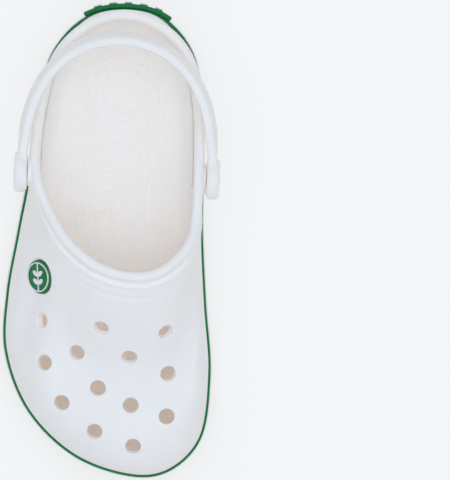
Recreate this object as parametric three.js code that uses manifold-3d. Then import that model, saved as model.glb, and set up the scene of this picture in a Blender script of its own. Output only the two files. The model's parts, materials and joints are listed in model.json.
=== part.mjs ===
// A moulded foam garden clog for the right foot, in millimetres.
// Frame: +X medial, -X lateral, +Y heel, -Y toe, +Z up. The origin is on the ground,
// under the middle of the clog.
//
// The clog is a stack: outsole, midsole, stripe, upper, with the footbed inside the stripe.
// The upper is one skin of even wall that rises from the sole and ends in a round bead at
// the foot opening. A heel strap turns on two snap rivets.

import * as THREE from 'three';
import { mergeVertices } from 'three/addons/utils/BufferGeometryUtils.js';
import Module from 'manifold-3d';

const wasm = await Module();
wasm.setup();

const DEG = Math.PI / 180;

// ---------------------------------------------------------------- driving dimensions

const LENGTH = 283;         // toe to heel over the heel label
const WIDTH = 124.6;        // sole, across the ball of the foot
const COLLAR_HEIGHT = 97;   // middle of the opening's bead over the instep
const HEEL_HEIGHT = 59;     // middle of the bead at the heel
const TOE_BOX_HEIGHT = 60;  // middle of the wall over the toes
const WALL = 4.6;
const FIT = 0.3;            // gap between pieces that touch or are bonded

const SOLE = {
  outsole: 6,               // thickness
  midsole: 14,
  stripe: 5.6,
  stripeInset: 0.8,         // stripe's face behind the midsole's
  ledge: 1.6,               // stripe that shows outside the upper
  outsoleInset: 1.2,
  round: 1,                 // the outsole's lower edge and the midsole's two edges
  toeSpring: 15,
  springStart: -0.2,        // share of the length where the sole starts to lift
  heelBevel: 3,
  bevelStart: 0.41,
};

const TREAD = { depth: 2, groove: 2.6, pitch: 12, arch: [-0.05, 0.17], archLift: 1.5 };

const FOOTBED = {
  heel: 28,                 // height of the surface above the ground
  forefoot: 24.5,
  slope: [-0.25, 0.15],     // shares of the length between which it climbs to the heel
  cup: 2.2,                 // rise from the middle to the edge
  middle: 0.04,             // shares of the width: the cup's middle and half its span
  halfSpan: 0.42,
  arch: 4,                  // rise under the inner arch
  archPlace: 0.05,          // shares of the length
  archLength: 0.36,
  archFrom: 0.08,           // shares of the width
  archTo: 0.36,
  sideGap: 0.7,
};

const BEAD = { radius: 3, groove: 0.6, ridge: 0.6, ridgeAt: 9, ridgeWidth: 2.2 };

const VENT = {
  diameter: 9.2,
  places: [                 // shares of the width and the length
    [-0.328, -0.167], [-0.047, -0.183], [0.259, -0.191],
    [-0.161, -0.234], [0.086, -0.244],
    [-0.317, -0.255], [0.270, -0.278], [-0.062, -0.308],
    [-0.234, -0.339], [0.093, -0.344], [0.263, -0.367],
    [-0.079, -0.399], [0.104, -0.430],
  ],
};

const BADGE = { diameter: 20, thickness: 2.2, draft: 0.5, sunk: 3, place: [-0.344, -0.077] };
const EMBLEM = {
  thickness: 0.5,
  ring: 8.8,                // outer radius
  line: 0.7,                // width of the ring and the stem
  leaf: [4.6, 2.6],         // length and width
  leafOut: 1.9,             // middle of a leaf from the stem
  leafHeights: [-2.7, 2.1],
  leafTurn: 50 * DEG,       // from the stem
};

const LABEL = {
  width: 52,
  aside: 2,                 // towards the medial side
  bottom: 8,
  thickness: 1.8,
  ribs: 5,
  rib: 4.4,
  ribThickness: 0.6,
  margin: 3,                // plate above and below the ribs
};

const PIVOT = {
  lateralY: 40,
  medialY: 36,
  height: 68,
  boss: 17,                 // diameter of the boss on the upper
  standoff: 2.2,            // boss out from the wall
  innerRecess: 1.2,         // base's seat into the wall
  bore: 8.2,
};

const STRAP = {
  thickness: 5.6,
  rear: 20,                 // height of the band behind the heel
  arm: 17,
  pad: 24,                  // diameter of the round ends
  padThickness: 7.8,
  recess: 1.8,              // depth of the seats for the rivets' heads
  roundness: 2.7,           // exponent of the loop's superellipse, to the rear
  tilt: 6 * DEG,            // at rest, above level
  armIn: 0.6,               // band's middle in from the pads'
  lean: 0.15,               // flare of the band, out per unit down
  leanFrom: [0.02, 0.25],   // where the flare grows, as a sine of the angle round the loop
  heelGap: 6.2,             // from the heel's bead, level with it
  edge: 1.4,
};

const RIVET = {
  head: 17,
  headThickness: 1.8,
  headRim: 0.7,             // straight edge of the head
  stem: 7.4,
  base: 12.5,
  baseThickness: 1.6,
  baseChamfer: 0.8,
  snap: 9.6,
  snapLength: 1.6,
};

// How finely the skins are divided.
const AROUND = 80;
const UP = 8;

// ---------------------------------------------------------------- heights of the stack

const midsoleTop = SOLE.outsole + FIT + SOLE.midsole;
const stripeTop = midsoleTop + FIT + SOLE.stripe;
const upperBase = stripeTop + FIT;
const upperInset = SOLE.stripeInset + SOLE.ledge;
const innerInset = upperInset + WALL;

// Height that the sole's layers are lifted by at y: toe spring and heel bevel.
function lift(y) {
  const toe = Math.max(0, (SOLE.springStart - y / LENGTH) / (0.5 + SOLE.springStart));
  const heel = Math.max(0, (y / LENGTH - SOLE.bevelStart) / (0.5 - SOLE.bevelStart));
  return SOLE.toeSpring * toe ** 2 + SOLE.heelBevel * heel ** 2;
}

// ---------------------------------------------------------------- the clog's ribs

// Heights over the toes, up to the instep's, and up the side wall, to the heel's.
const toes = (share) => THREE.MathUtils.lerp(TOE_BOX_HEIGHT, COLLAR_HEIGHT, share);
const flank = (share) => THREE.MathUtils.lerp(upperBase, HEEL_HEIGHT, share);

// Each rib is a section of the upper, in order from the toe along the lateral side to the
// heel and back along the medial side. sole and rim are points in shares of the width and
// the length. rise is how high the rim stands, from 0 at the heel to 1 over the instep. The
// shoulder is where the side turns towards the top: how far it lies on the way to the rim,
// its height and the skin's slope there, in degrees. slope is the skin's slope at the rim.
const RIBS = [
  { sole: [0.152, -0.5], rim: [0.12, -0.066], rise: 1, shoulder: [0.22, toes(0), 3], slope: 24 },
  { sole: [-0.16, -0.461], rim: [0.032, -0.06], rise: 0.99, shoulder: [0.23, toes(0), 3], slope: 25 },
  { sole: [-0.401, -0.362], rim: [-0.056, -0.045], rise: 0.96, shoulder: [0.27, toes(0), 5], slope: 28 },
  { sole: [-0.514, -0.233], rim: [-0.128, -0.022], rise: 0.89, shoulder: [0.46, toes(0), 43], slope: 38 },
  { sole: [-0.506, -0.113], rim: [-0.193, 0.007], rise: 0.77, shoulder: [0.46, toes(0.05), 37], slope: 42 },
  { sole: [-0.453, 0.018], rim: [-0.265, 0.06], rise: 0.6, shoulder: [0.5, flank(0.88), 62], slope: 62 },
  { sole: [-0.401, 0.141], rim: [-0.326, 0.135], rise: 0.46, shoulder: [0.5, flank(0.7), 80], slope: 80 },
  { sole: [-0.365, 0.276], rim: [-0.313, 0.255], rise: 0.02, shoulder: [0.5, flank(0.5), 93], slope: 90 },
  { sole: [-0.282, 0.4], rim: [-0.235, 0.376], rise: 0, shoulder: [0.5, flank(0.5), 88], slope: 90 },
  { sole: [-0.127, 0.471], rim: [-0.106, 0.436], rise: 0, shoulder: [0.5, flank(0.5), 85], slope: 88 },
  { sole: [0.067, 0.49], rim: [0.06, 0.453], rise: 0, shoulder: [0.5, flank(0.5), 85], slope: 88 },
  { sole: [0.258, 0.469], rim: [0.222, 0.436], rise: 0, shoulder: [0.5, flank(0.5), 85], slope: 88 },
  { sole: [0.394, 0.4], rim: [0.342, 0.378], rise: 0, shoulder: [0.5, flank(0.5), 88], slope: 90 },
  { sole: [0.441, 0.293], rim: [0.389, 0.276], rise: 0.02, shoulder: [0.5, flank(0.5), 93], slope: 90 },
  { sole: [0.449, 0.159], rim: [0.388, 0.148], rise: 0.46, shoulder: [0.5, flank(0.7), 88], slope: 88 },
  { sole: [0.445, 0.028], rim: [0.37, 0.032], rise: 0.61, shoulder: [0.5, flank(0.88), 78], slope: 74 },
  { sole: [0.461, -0.134], rim: [0.339, -0.007], rise: 0.77, shoulder: [0.4, toes(0), 48], slope: 46 },
  { sole: [0.482, -0.283], rim: [0.289, -0.034], rise: 0.92, shoulder: [0.34, toes(0.04), 14], slope: 32 },
  { sole: [0.433, -0.42], rim: [0.237, -0.052], rise: 0.98, shoulder: [0.25, toes(0), 4], slope: 27 },
  { sole: [0.305, -0.481], rim: [0.181, -0.063], rise: 1, shoulder: [0.22, toes(0), 3], slope: 24 },
];

function closedCurve(kind, toPoint) {
  return new THREE.CatmullRomCurve3(RIBS.map(toPoint), true, kind, 0.5);
}

const soleCurve = closedCurve('centripetal', ({ sole: [x, y] }) => (
  new THREE.Vector3(x * WIDTH, y * LENGTH, 0)
));
const rimCurve = closedCurve('centripetal', ({ rim: [x, y], rise }) => (
  new THREE.Vector3(x * WIDTH, y * LENGTH, THREE.MathUtils.lerp(HEEL_HEIGHT, COLLAR_HEIGHT, rise))
));
const shoulderCurve = closedCurve('catmullrom', ({ shoulder }) => new THREE.Vector3(...shoulder));
const slopeCurve = closedCurve('catmullrom', ({ slope }) => new THREE.Vector3(slope, 0, 0));

// The curve's point at turn t, moved level and towards the inside of the curve.
function insetPoint(curve, t, inset) {
  const step = 1e-3;
  const turn = THREE.MathUtils.euclideanModulo(t, 1);
  const ahead = curve.getPoint((turn + step) % 1);
  const behind = curve.getPoint((turn + 1 - step) % 1);
  const along = ahead.sub(behind).setZ(0).normalize();
  return curve.getPoint(turn).add(new THREE.Vector3(-along.y, along.x, 0).multiplyScalar(-inset));
}

// ---------------------------------------------------------------- mesh helpers

function geometryOf(points, triangles) {
  const geometry = new THREE.BufferGeometry();
  geometry.setAttribute('position', new THREE.Float32BufferAttribute(points.flatMap((p) => p.toArray()), 3));
  geometry.setIndex(triangles.filter(([a, b, c]) => a !== b && b !== c && c !== a).flat());
  return geometry;
}

// Two triangles for each cell between rows of vertex numbers.
function quads(rows) {
  const triangles = [];
  for (let i = 0; i + 1 < rows.length; i += 1) {
    for (let j = 0; j + 1 < rows[i].length; j += 1) {
      const [a, b, c, d] = [rows[i][j], rows[i][j + 1], rows[i + 1][j + 1], rows[i + 1][j]];
      triangles.push([a, b, c], [a, c, d]);
    }
  }
  return triangles;
}

function volume(geometry) {
  const position = geometry.getAttribute('position');
  const index = geometry.getIndex().array;
  const [a, b, c] = [new THREE.Vector3(), new THREE.Vector3(), new THREE.Vector3()];
  let total = 0;
  for (let i = 0; i < index.length; i += 3) {
    a.fromBufferAttribute(position, index[i]);
    b.fromBufferAttribute(position, index[i + 1]);
    c.fromBufferAttribute(position, index[i + 2]);
    total += a.dot(b.cross(c)) / 6;
  }
  return total;
}

// The same geometry with its faces pointing out.
function outward(geometry) {
  if (volume(geometry) < 0) {
    geometry.getIndex().array.reverse();
  }
  return geometry;
}

function toManifold(geometry, matrix = new THREE.Matrix4()) {
  const bare = geometry.clone().applyMatrix4(matrix);
  bare.deleteAttribute('normal');
  bare.deleteAttribute('uv');
  const merged = outward(mergeVertices(bare, 1e-4));
  return new wasm.Manifold(new wasm.Mesh({
    numProp: 3,
    vertProperties: new Float32Array(merged.getAttribute('position').array),
    triVerts: new Uint32Array(merged.getIndex().array),
  }));
}

function fromManifold(solid) {
  const mesh = solid.getMesh();
  const geometry = new THREE.BufferGeometry();
  geometry.setAttribute('position', new THREE.BufferAttribute(mesh.vertProperties, 3));
  geometry.setIndex(new THREE.BufferAttribute(mesh.triVerts, 1));
  return geometry;
}

// Closed solid of rings stacked from the bottom up. Each ring has an inset from the sole's
// outline and a height(x, y). Its two ends are spanned by chords from side to side.
function slab(rings, chordSteps) {
  const points = [];
  const ringRows = rings.map(({ inset, height }) => Array.from({ length: AROUND }, (_, i) => {
    const point = insetPoint(soleCurve, i / AROUND, inset);
    points.push(point.setZ(height(point.x, point.y)));
    return points.length - 1;
  }));
  const half = AROUND / 2;
  const cap = (row, height) => {
    const chords = [];
    for (let i = 0; i <= half; i += 1) {
      const [from, to] = [row[i], row[(AROUND - i) % AROUND]];
      const chord = [from];
      for (let j = 1; j < chordSteps; j += 1) {
        if (from === to) {
          chord.push(from);
        } else {
          const point = points[from].clone().lerp(points[to], j / chordSteps);
          points.push(point.setZ(height(point.x, point.y)));
          chord.push(points.length - 1);
        }
      }
      chords.push([...chord, to]);
    }
    return quads(chords);
  };
  const last = rings.length - 1;
  const bottom = cap(ringRows[0], rings[0].height);
  const top = cap(ringRows[last], rings[last].height).map(([a, b, c]) => [a, c, b]);
  const sides = quads(ringRows.map((row) => [...row, row[0]]));
  return outward(geometryOf(points, [...bottom, ...top, ...sides]));
}

// Solid that follows the sole's outline from turn t0 to t1, or all the way round when they
// are a whole turn apart. corners are its section's [inset, height above the ground].
function moulding(t0, t1, steps, corners) {
  const points = [];
  const closed = t1 - t0 === 1;
  const count = closed ? steps : steps + 1;
  const rows = Array.from({ length: count }, (_, i) => corners.map(([inset, height]) => {
    const point = insetPoint(soleCurve, t0 + ((t1 - t0) * i) / steps, inset);
    points.push(point.setZ(height + lift(point.y)));
    return points.length - 1;
  }));
  const loops = rows.map((row) => [...row, row[0]]);
  if (closed) {
    return outward(geometryOf(points, quads([...loops, loops[0]])));
  }
  const [first, last] = [rows[0], rows[count - 1]];
  const ends = [];
  for (let i = 1; i + 1 < corners.length; i += 1) {
    ends.push([first[0], first[i + 1], first[i]], [last[0], last[i], last[i + 1]]);
  }
  return outward(geometryOf(points, [...quads(loops), ...ends]));
}

function cylinderAlong(direction, centre, diameter, length, sides) {
  const matrix = new THREE.Matrix4().compose(
    centre,
    new THREE.Quaternion().setFromUnitVectors(new THREE.Vector3(0, 1, 0), direction),
    new THREE.Vector3(1, 1, 1),
  );
  return toManifold(new THREE.CylinderGeometry(diameter / 2, diameter / 2, length, sides), matrix);
}

// ---------------------------------------------------------------- the upper's skin

const PROFILE_STEPS = 14;
const BEZIER_PULL = 0.55;

// Cubic curve between two points of a section with a direction at each end.
function sectionCurve(from, fromAngle, to, toAngle) {
  const span = to.clone().sub(from);
  const leave = new THREE.Vector2(Math.cos(fromAngle), Math.sin(fromAngle));
  const arrive = new THREE.Vector2(Math.cos(toAngle), Math.sin(toAngle));
  return new THREE.CubicBezierCurve(
    from,
    from.clone().addScaledVector(leave, BEZIER_PULL * span.dot(leave)),
    to.clone().addScaledVector(arrive, -BEZIER_PULL * span.dot(arrive)),
    to,
  );
}

// The middle of the skin at turn t, as points from the sole to the bead's tip.
function meridian(t) {
  const turn = THREE.MathUtils.euclideanModulo(t, 1);
  const foot = insetPoint(soleCurve, turn, upperInset + WALL / 2);
  const bead = insetPoint(rimCurve, turn, -BEAD.radius);
  const [run, shoulderHeight, shoulderSlope] = shoulderCurve.getPoint(turn).toArray();
  const slope = slopeCurve.getPoint(turn).x * DEG;
  const across = bead.clone().sub(foot).setZ(0);
  const inward = across.clone().normalize();
  const base = new THREE.Vector2(0, upperBase + lift(foot.y));
  const rim = new THREE.Vector2(across.length(), bead.z);
  const shoulder = new THREE.Vector2(run * rim.x, shoulderHeight);
  const lower = sectionCurve(base, 90 * DEG, shoulder, shoulderSlope * DEG);
  const upper = sectionCurve(shoulder, shoulderSlope * DEG, rim, slope);
  const flat = [...lower.getPoints(PROFILE_STEPS), ...upper.getPoints(PROFILE_STEPS).slice(1)];
  flat.push(new THREE.Vector2(Math.cos(slope), Math.sin(slope)).multiplyScalar(BEAD.radius).add(rim));
  const points = flat.map(({ x, y }) => foot.clone().setZ(0).addScaledVector(inward, x).setZ(y));
  const reached = [0];
  for (let i = 1; i < points.length; i += 1) {
    reached.push(reached[i - 1] + points[i].distanceTo(points[i - 1]));
  }
  return { points, reached, length: reached[reached.length - 1] };
}

// Bell of height 1 and the given width round a place.
function bell(place, width) {
  return Math.exp(-((2 * place / width) ** 2));
}

// Half the skin's thickness at a distance from the bead's tip. Outside, a groove and a fine
// ridge follow the bead.
function halfThickness(fromTip, outside) {
  const behind = fromTip - BEAD.radius;
  const circle = Math.sqrt(Math.max(0, BEAD.radius ** 2 - behind ** 2));
  if (fromTip < BEAD.radius || !outside) {
    return fromTip < BEAD.radius ? circle : Math.max(circle, WALL / 2);
  }
  const groove = BEAD.groove * bell(fromTip - 2 * BEAD.radius, BEAD.radius);
  const ridge = BEAD.ridge * bell(fromTip - BEAD.ridgeAt, BEAD.ridgeWidth);
  return Math.max(circle, WALL / 2 - groove + ridge);
}

const meridians = new Map();

// Point of the skin's middle at turn t and share a of the way from the sole to the tip.
function middlePoint(t, a) {
  if (!meridians.has(t)) {
    meridians.set(t, meridian(t));
  }
  const { points, reached, length } = meridians.get(t);
  const distance = a * length;
  let i = 1;
  while (i < points.length - 1 && reached[i] < distance) {
    i += 1;
  }
  const share = (distance - reached[i - 1]) / (reached[i] - reached[i - 1]);
  return points[i - 1].clone().lerp(points[i], share);
}

// Point and outward normal of the skin's face. side is 1 outside, -1 inside, 0 in the middle.
function skinPoint(t, a, side) {
  const step = 2e-3;
  const up = middlePoint(t, Math.min(1, a + step)).sub(middlePoint(t, Math.max(0, a - step)));
  const round = middlePoint(t + step, a).sub(middlePoint(t - step, a));
  const normal = up.cross(round).normalize();
  const point = middlePoint(t, a);
  const { length } = meridians.get(t);
  const offset = side * halfThickness((1 - a) * length, side > 0);
  return { point: point.addScaledVector(normal, offset), normal };
}

// The place on the outside of the skin where miss(point) is least, between two turns.
function locate(t0, t1, miss) {
  let best = { t: t0, a: 0.5, error: Infinity };
  const search = (ts, as) => {
    for (const t of ts) {
      for (const a of as) {
        const error = miss(skinPoint(t, a, 1).point);
        if (error < best.error) {
          best = { t, a, error };
        }
      }
    }
  };
  const spread = (middle, reach, count) => Array.from(
    { length: 2 * count + 1 },
    (_, i) => middle + (reach * (i - count)) / count,
  );
  search(spread((t0 + t1) / 2, (t1 - t0) / 2, 16), spread(0.5, 0.45, 10));
  for (let reach = 0.02; reach > 1e-4; reach /= 2) {
    search(spread(best.t, reach, 2), spread(best.a, reach, 2));
  }
  return skinPoint(best.t, best.a, 1);
}

// The place on the outside over a point given in shares of the width and the length.
function placeOver([x, y], t0, t1) {
  return locate(t0, t1, (point) => Math.hypot(point.x - x * WIDTH, point.y - y * LENGTH));
}

// Rings of the skin: evenly up the wall, then closer together over the ridge and the bead.
const BEAD_RINGS = [2, 1.6, 1, 0.45, 0.1].map((share) => share * BEAD.radius);
const RIDGE_RINGS = [0.5, 0, -0.5].map((share) => BEAD.ridgeAt + share * BEAD.ridgeWidth);

function upperSkin() {
  const points = [];
  const face = (t, side, rimRings) => {
    const { length } = meridian(t);
    const wall = 1 - rimRings[0] / length;
    const shares = Array.from({ length: UP }, (_, k) => (k / UP) * wall);
    shares.push(...rimRings.map((distance) => 1 - distance / length));
    return shares.map((a, k) => {
      const { point } = skinPoint(t, a, side);
      points.push(k === 0 ? point.setZ(upperBase + lift(point.y)) : point);
      return points.length - 1;
    });
  };
  const loops = Array.from({ length: AROUND }, (_, i) => {
    const t = i / AROUND;
    const outside = face(t, 1, [...RIDGE_RINGS, ...BEAD_RINGS]);
    const inside = face(t, -1, BEAD_RINGS);
    points.push(skinPoint(t, 1, 0).point);
    return [...outside, points.length - 1, ...inside.reverse(), outside[0]];
  });
  return outward(geometryOf(points, quads([...loops, loops[0]])));
}

// ---------------------------------------------------------------- the strap's pivots

// Point on the pivot axis where it leaves the upper, on one side of the clog.
function pivotPoint(y, t0, t1) {
  const { point } = locate(t0, t1, (p) => Math.hypot(p.y - y, p.z - PIVOT.height));
  return new THREE.Vector3(point.x, y, PIVOT.height);
}

const lateralPivot = pivotPoint(PIVOT.lateralY, 0.25, 0.45);
const medialPivot = pivotPoint(PIVOT.medialY, 0.6, 0.75);
const pivotMiddle = lateralPivot.clone().add(medialPivot).divideScalar(2);
const pivotAxis = medialPivot.clone().sub(lateralPivot).normalize();
const pivotSkew = Math.atan2(pivotAxis.y, pivotAxis.x);
const bossReach = lateralPivot.distanceTo(medialPivot) / 2 + PIVOT.standoff;
const bossDepth = PIVOT.standoff + WALL - PIVOT.innerRecess;
const padInner = bossReach + FIT;
const padOuter = padInner + STRAP.padThickness;

// Both sides of the clog: their direction along the pivot axis.
const SIDES = [{ name: 'lateral', sign: -1 }, { name: 'medial', sign: 1 }];

function onAxis(sign, distance) {
  return pivotMiddle.clone().addScaledVector(pivotAxis, sign * distance);
}

// ---------------------------------------------------------------- pieces of the clog

const VENT_SIDES = 18;
const CUT = 16;             // length of the tools that cut through the wall

const badgeSeat = placeOver(BADGE.place, 0.12, 0.28);

function upperShell() {
  let shell = toManifold(upperSkin());
  for (const { sign } of SIDES) {
    const bossMiddle = onAxis(sign, bossReach - bossDepth / 2);
    shell = shell.add(cylinderAlong(pivotAxis, bossMiddle, PIVOT.boss, bossDepth, 32));
    shell = shell.subtract(cylinderAlong(pivotAxis, bossMiddle, PIVOT.bore, CUT, 24));
    const seat = onAxis(sign, bossReach - bossDepth - CUT / 2);
    shell = shell.subtract(cylinderAlong(pivotAxis, seat, RIVET.base + 4 * FIT, CUT, 32));
  }
  for (const place of VENT.places) {
    const { point, normal } = placeOver(place, -0.28, 0.28);
    shell = shell.subtract(cylinderAlong(normal, point, VENT.diameter, CUT, VENT_SIDES));
  }
  const pocket = badgeSeat.point.clone().addScaledVector(badgeSeat.normal, CUT / 2 - BADGE.sunk);
  shell = shell.subtract(cylinderAlong(badgeSeat.normal, pocket, BADGE.diameter + 2 * FIT, CUT, 40));
  return fromManifold(shell);
}

function footbedHeight(x, y) {
  const along = y / LENGTH;
  const beside = x / WIDTH;
  const heelward = THREE.MathUtils.smoothstep(along, ...FOOTBED.slope);
  const across = Math.min(1, Math.abs(beside - FOOTBED.middle) / FOOTBED.halfSpan);
  const arch = FOOTBED.arch * bell(along - FOOTBED.archPlace, FOOTBED.archLength)
    * THREE.MathUtils.smoothstep(beside, FOOTBED.archFrom, FOOTBED.archTo);
  return THREE.MathUtils.lerp(FOOTBED.forefoot, FOOTBED.heel, heelward)
    + FOOTBED.cup * across ** 2 + arch + lift(y);
}

function footbed() {
  const inset = innerInset + FOOTBED.sideGap;
  const bottom = (x, y) => midsoleTop + FIT + lift(y);
  return slab([{ inset, height: bottom }, { inset, height: footbedHeight }], 10);
}

function midsole() {
  const at = (height) => (x, y) => height + lift(y);
  const bottom = SOLE.outsole + FIT;
  return slab([
    { inset: 0.6 * SOLE.round, height: at(bottom) },
    { inset: 0, height: at(bottom + 0.3 * SOLE.midsole) },
    { inset: 0, height: at(bottom + 0.6 * SOLE.midsole) },
    { inset: SOLE.stripeInset + 0.4 * SOLE.round, height: at(midsoleTop) },
  ], 6);
}

function outsole() {
  const at = (height) => (x, y) => height + lift(y);
  const inset = SOLE.outsoleInset;
  let solid = toManifold(slab([
    { inset: inset + SOLE.round, height: at(0) },
    { inset, height: at(0.35 * SOLE.outsole) },
    { inset, height: at(SOLE.outsole) },
  ], 6));
  const cutter = (length, from, to, height) => toManifold(
    new THREE.BoxGeometry(length, to - from, 2 * height),
    new THREE.Matrix4().makeTranslation(0, (from + to) / 2, lift((from + to) / 2)),
  );
  const [archFrom, archTo] = TREAD.arch.map((share) => share * LENGTH);
  solid = solid.subtract(cutter(2 * WIDTH, archFrom, archTo, TREAD.archLift));
  const grooves = Math.floor(LENGTH / TREAD.pitch) - 1;
  for (let i = 0; i < grooves; i += 1) {
    const y = (i - (grooves - 1) / 2) * TREAD.pitch;
    const [from, to] = [y - TREAD.groove / 2, y + TREAD.groove / 2];
    if (to < archFrom || from > archTo) {
      solid = solid.subtract(cutter(2 * WIDTH, from, to, TREAD.depth));
    }
  }
  return fromManifold(solid);
}

function stripe() {
  const bottom = midsoleTop + FIT;
  return moulding(0, 1, AROUND, [
    [SOLE.stripeInset, bottom],
    [SOLE.stripeInset, stripeTop],
    [innerInset, stripeTop],
    [innerInset, bottom],
  ]);
}

// Turns per millimetre of the sole's outline at the heel.
const heelTurn = 0.5;
const heelStep = 0.01;
const heelSpan = soleCurve.getPoint(heelTurn - heelStep).distanceTo(soleCurve.getPoint(heelTurn + heelStep));
const turnsPerLength = (2 * heelStep) / heelSpan;

// Plate round the heel, with its middle a distance along the outline from the heel's.
function heelPlate(aside, width, out, thickness, bottom, top, steps) {
  const middle = heelTurn + aside * turnsPerLength;
  const half = (width / 2) * turnsPerLength;
  return moulding(middle - half, middle + half, steps, [
    [-out - thickness, bottom],
    [-out - thickness, top],
    [-out, top],
    [-out, bottom],
  ]);
}

const labelTop = stripeTop - FIT;

function heelLabel() {
  return heelPlate(LABEL.aside, LABEL.width, FIT, LABEL.thickness, LABEL.bottom, labelTop, 14);
}

function heelRib(i) {
  const pitch = LABEL.width / (LABEL.ribs + 1);
  const aside = LABEL.aside + (i - (LABEL.ribs - 1) / 2) * pitch;
  const out = 2 * FIT + LABEL.thickness;
  const [bottom, top] = [LABEL.bottom + LABEL.margin, labelTop - LABEL.margin];
  return heelPlate(aside, LABEL.rib, out, LABEL.ribThickness, bottom, top, 2);
}

// Plain leaf sprig in a ring, standing along +Y, from 0 up to its thickness.
function emblem() {
  const options = { depth: EMBLEM.thickness, bevelEnabled: false, curveSegments: 20 };
  const ring = new THREE.Shape().absarc(0, 0, EMBLEM.ring, 0, 2 * Math.PI);
  ring.holes.push(new THREE.Path().absarc(0, 0, EMBLEM.ring - EMBLEM.line, 0, 2 * Math.PI));
  const stem = new THREE.BoxGeometry(EMBLEM.line, 2 * EMBLEM.ring - EMBLEM.line, EMBLEM.thickness);
  let solid = toManifold(new THREE.ExtrudeGeometry(ring, options));
  solid = solid.add(toManifold(stem, new THREE.Matrix4().makeTranslation(0, 0, EMBLEM.thickness / 2)));
  const [leafLength, leafWidth] = EMBLEM.leaf;
  const leaf = new THREE.Shape().absellipse(0, 0, leafLength / 2, leafWidth / 2, 0, 2 * Math.PI);
  const blade = new THREE.ExtrudeGeometry(leaf, { ...options, curveSegments: 6 });
  for (const height of EMBLEM.leafHeights) {
    for (const sign of [-1, 1]) {
      const place = new THREE.Matrix4().makeRotationZ(Math.PI / 2 - sign * EMBLEM.leafTurn);
      place.setPosition(sign * EMBLEM.leafOut, height, 0);
      solid = solid.add(toManifold(blade, place));
    }
  }
  return fromManifold(solid);
}

// ---------------------------------------------------------------- strap and rivets

// The strap lies in its own frame: x along the pivot axis, y to the rear, z across the band.
const heelBeadOut = insetPoint(rimCurve, heelTurn, 0).y;
const strapReach = (heelBeadOut - STRAP.heelGap - pivotMiddle.y)
  - (STRAP.rear / 2) * Math.sin(STRAP.tilt);
const strapRear = strapReach / Math.cos(STRAP.tilt) - STRAP.thickness / 2;
const strapHalfSpan = (padInner + padOuter) / 2;

function strapPath(angle) {
  return new THREE.Vector2(
    -Math.cos(angle) * (strapHalfSpan - STRAP.armIn),
    Math.abs(Math.sin(angle)) ** (2 / STRAP.roundness) * strapRear,
  );
}

function strapBand(steps) {
  const points = [];
  const rows = Array.from({ length: steps + 1 }, (_, i) => {
    const angle = (i / steps) * Math.PI;
    const middle = strapPath(angle);
    const ahead = strapPath(Math.min(Math.PI, angle + 1e-3));
    const along = ahead.sub(strapPath(Math.max(0, angle - 1e-3))).normalize();
    const high = THREE.MathUtils.lerp(STRAP.arm, STRAP.rear, Math.sin(angle) ** 2) / 2;
    const thick = STRAP.thickness / 2;
    const { edge } = STRAP;
    const lean = STRAP.lean * THREE.MathUtils.smoothstep(Math.sin(angle), ...STRAP.leanFrom);
    const corners = [
      [thick, high - edge], [thick - edge, high], [edge - thick, high], [-thick, high - edge],
      [-thick, edge - high], [edge - thick, -high], [thick - edge, -high], [thick, edge - high],
    ];
    return corners.map(([across, up]) => {
      const out = across - lean * up;
      points.push(new THREE.Vector3(middle.x - along.y * out, middle.y + along.x * out, up));
      return points.length - 1;
    });
  });
  const loops = rows.map((row) => [...row, row[0]]);
  const [first, last] = [rows[0], rows[steps]];
  const ends = [];
  for (let i = 1; i + 1 < first.length; i += 1) {
    ends.push([first[0], first[i + 1], first[i]], [last[0], last[i], last[i + 1]]);
  }
  return outward(geometryOf(points, [...quads(loops), ...ends]));
}

// Solid turned about the x axis from [distance along x, radius] points.
function turned(profile, sides) {
  const points = profile.map(([along, radius]) => new THREE.Vector2(radius, along));
  return new THREE.LatheGeometry(points, sides).rotateZ(-Math.PI / 2);
}

function strap() {
  let solid = toManifold(strapBand(52));
  for (const { sign } of SIDES) {
    const profile = [
      [padInner, 0], [padInner, STRAP.pad / 2 - STRAP.edge], [padInner + STRAP.edge, STRAP.pad / 2],
      [padOuter - STRAP.edge, STRAP.pad / 2], [padOuter, STRAP.pad / 2 - STRAP.edge], [padOuter, 0],
    ].map(([along, radius]) => [sign * along, radius]);
    solid = solid.add(toManifold(turned(profile, 36)));
    const hole = (radius, middle) => toManifold(
      new THREE.CylinderGeometry(radius, radius, CUT, 36).rotateZ(Math.PI / 2),
      new THREE.Matrix4().makeTranslation(sign * middle, 0, 0),
    );
    solid = solid.subtract(hole(PIVOT.bore / 2, strapHalfSpan));
    solid = solid.subtract(hole(RIVET.head / 2 + FIT, padOuter - STRAP.recess + CUT / 2));
  }
  return fromManifold(solid);
}

const baseOuter = bossReach - bossDepth - FIT;
const baseInner = baseOuter - RIVET.baseThickness;
const snapStart = baseInner - FIT;

// Domed head sunk in the strap, with the stem through to its snap inside the upper.
function rivetHead(sign) {
  const face = padOuter - STRAP.recess + FIT;
  const [head, stem, snap] = [RIVET.head / 2, RIVET.stem / 2, RIVET.snap / 2];
  const tip = snapStart - RIVET.snapLength;
  const profile = [
    [tip, 0], [tip, 0.7 * stem], [(tip + snapStart) / 2, snap], [snapStart, snap],
    [snapStart, stem], [face, stem], [face, head], [face + RIVET.headRim, head],
    [face + 0.8 * RIVET.headThickness, 0.72 * head], [face + RIVET.headThickness, 0],
  ].map(([along, radius]) => [sign * along, radius]);
  return outward(mergedLathe(turned(profile, 32)));
}

function rivetBase(sign) {
  const [outer, inner] = [RIVET.base / 2, PIVOT.bore / 2];
  const profile = [
    [baseInner, inner], [baseInner, outer - RIVET.baseChamfer], [baseInner + RIVET.baseChamfer, outer],
    [baseOuter, outer], [baseOuter, inner], [baseInner, inner],
  ].map(([along, radius]) => [sign * along, radius]);
  return outward(mergedLathe(turned(profile, 32)));
}

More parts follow.
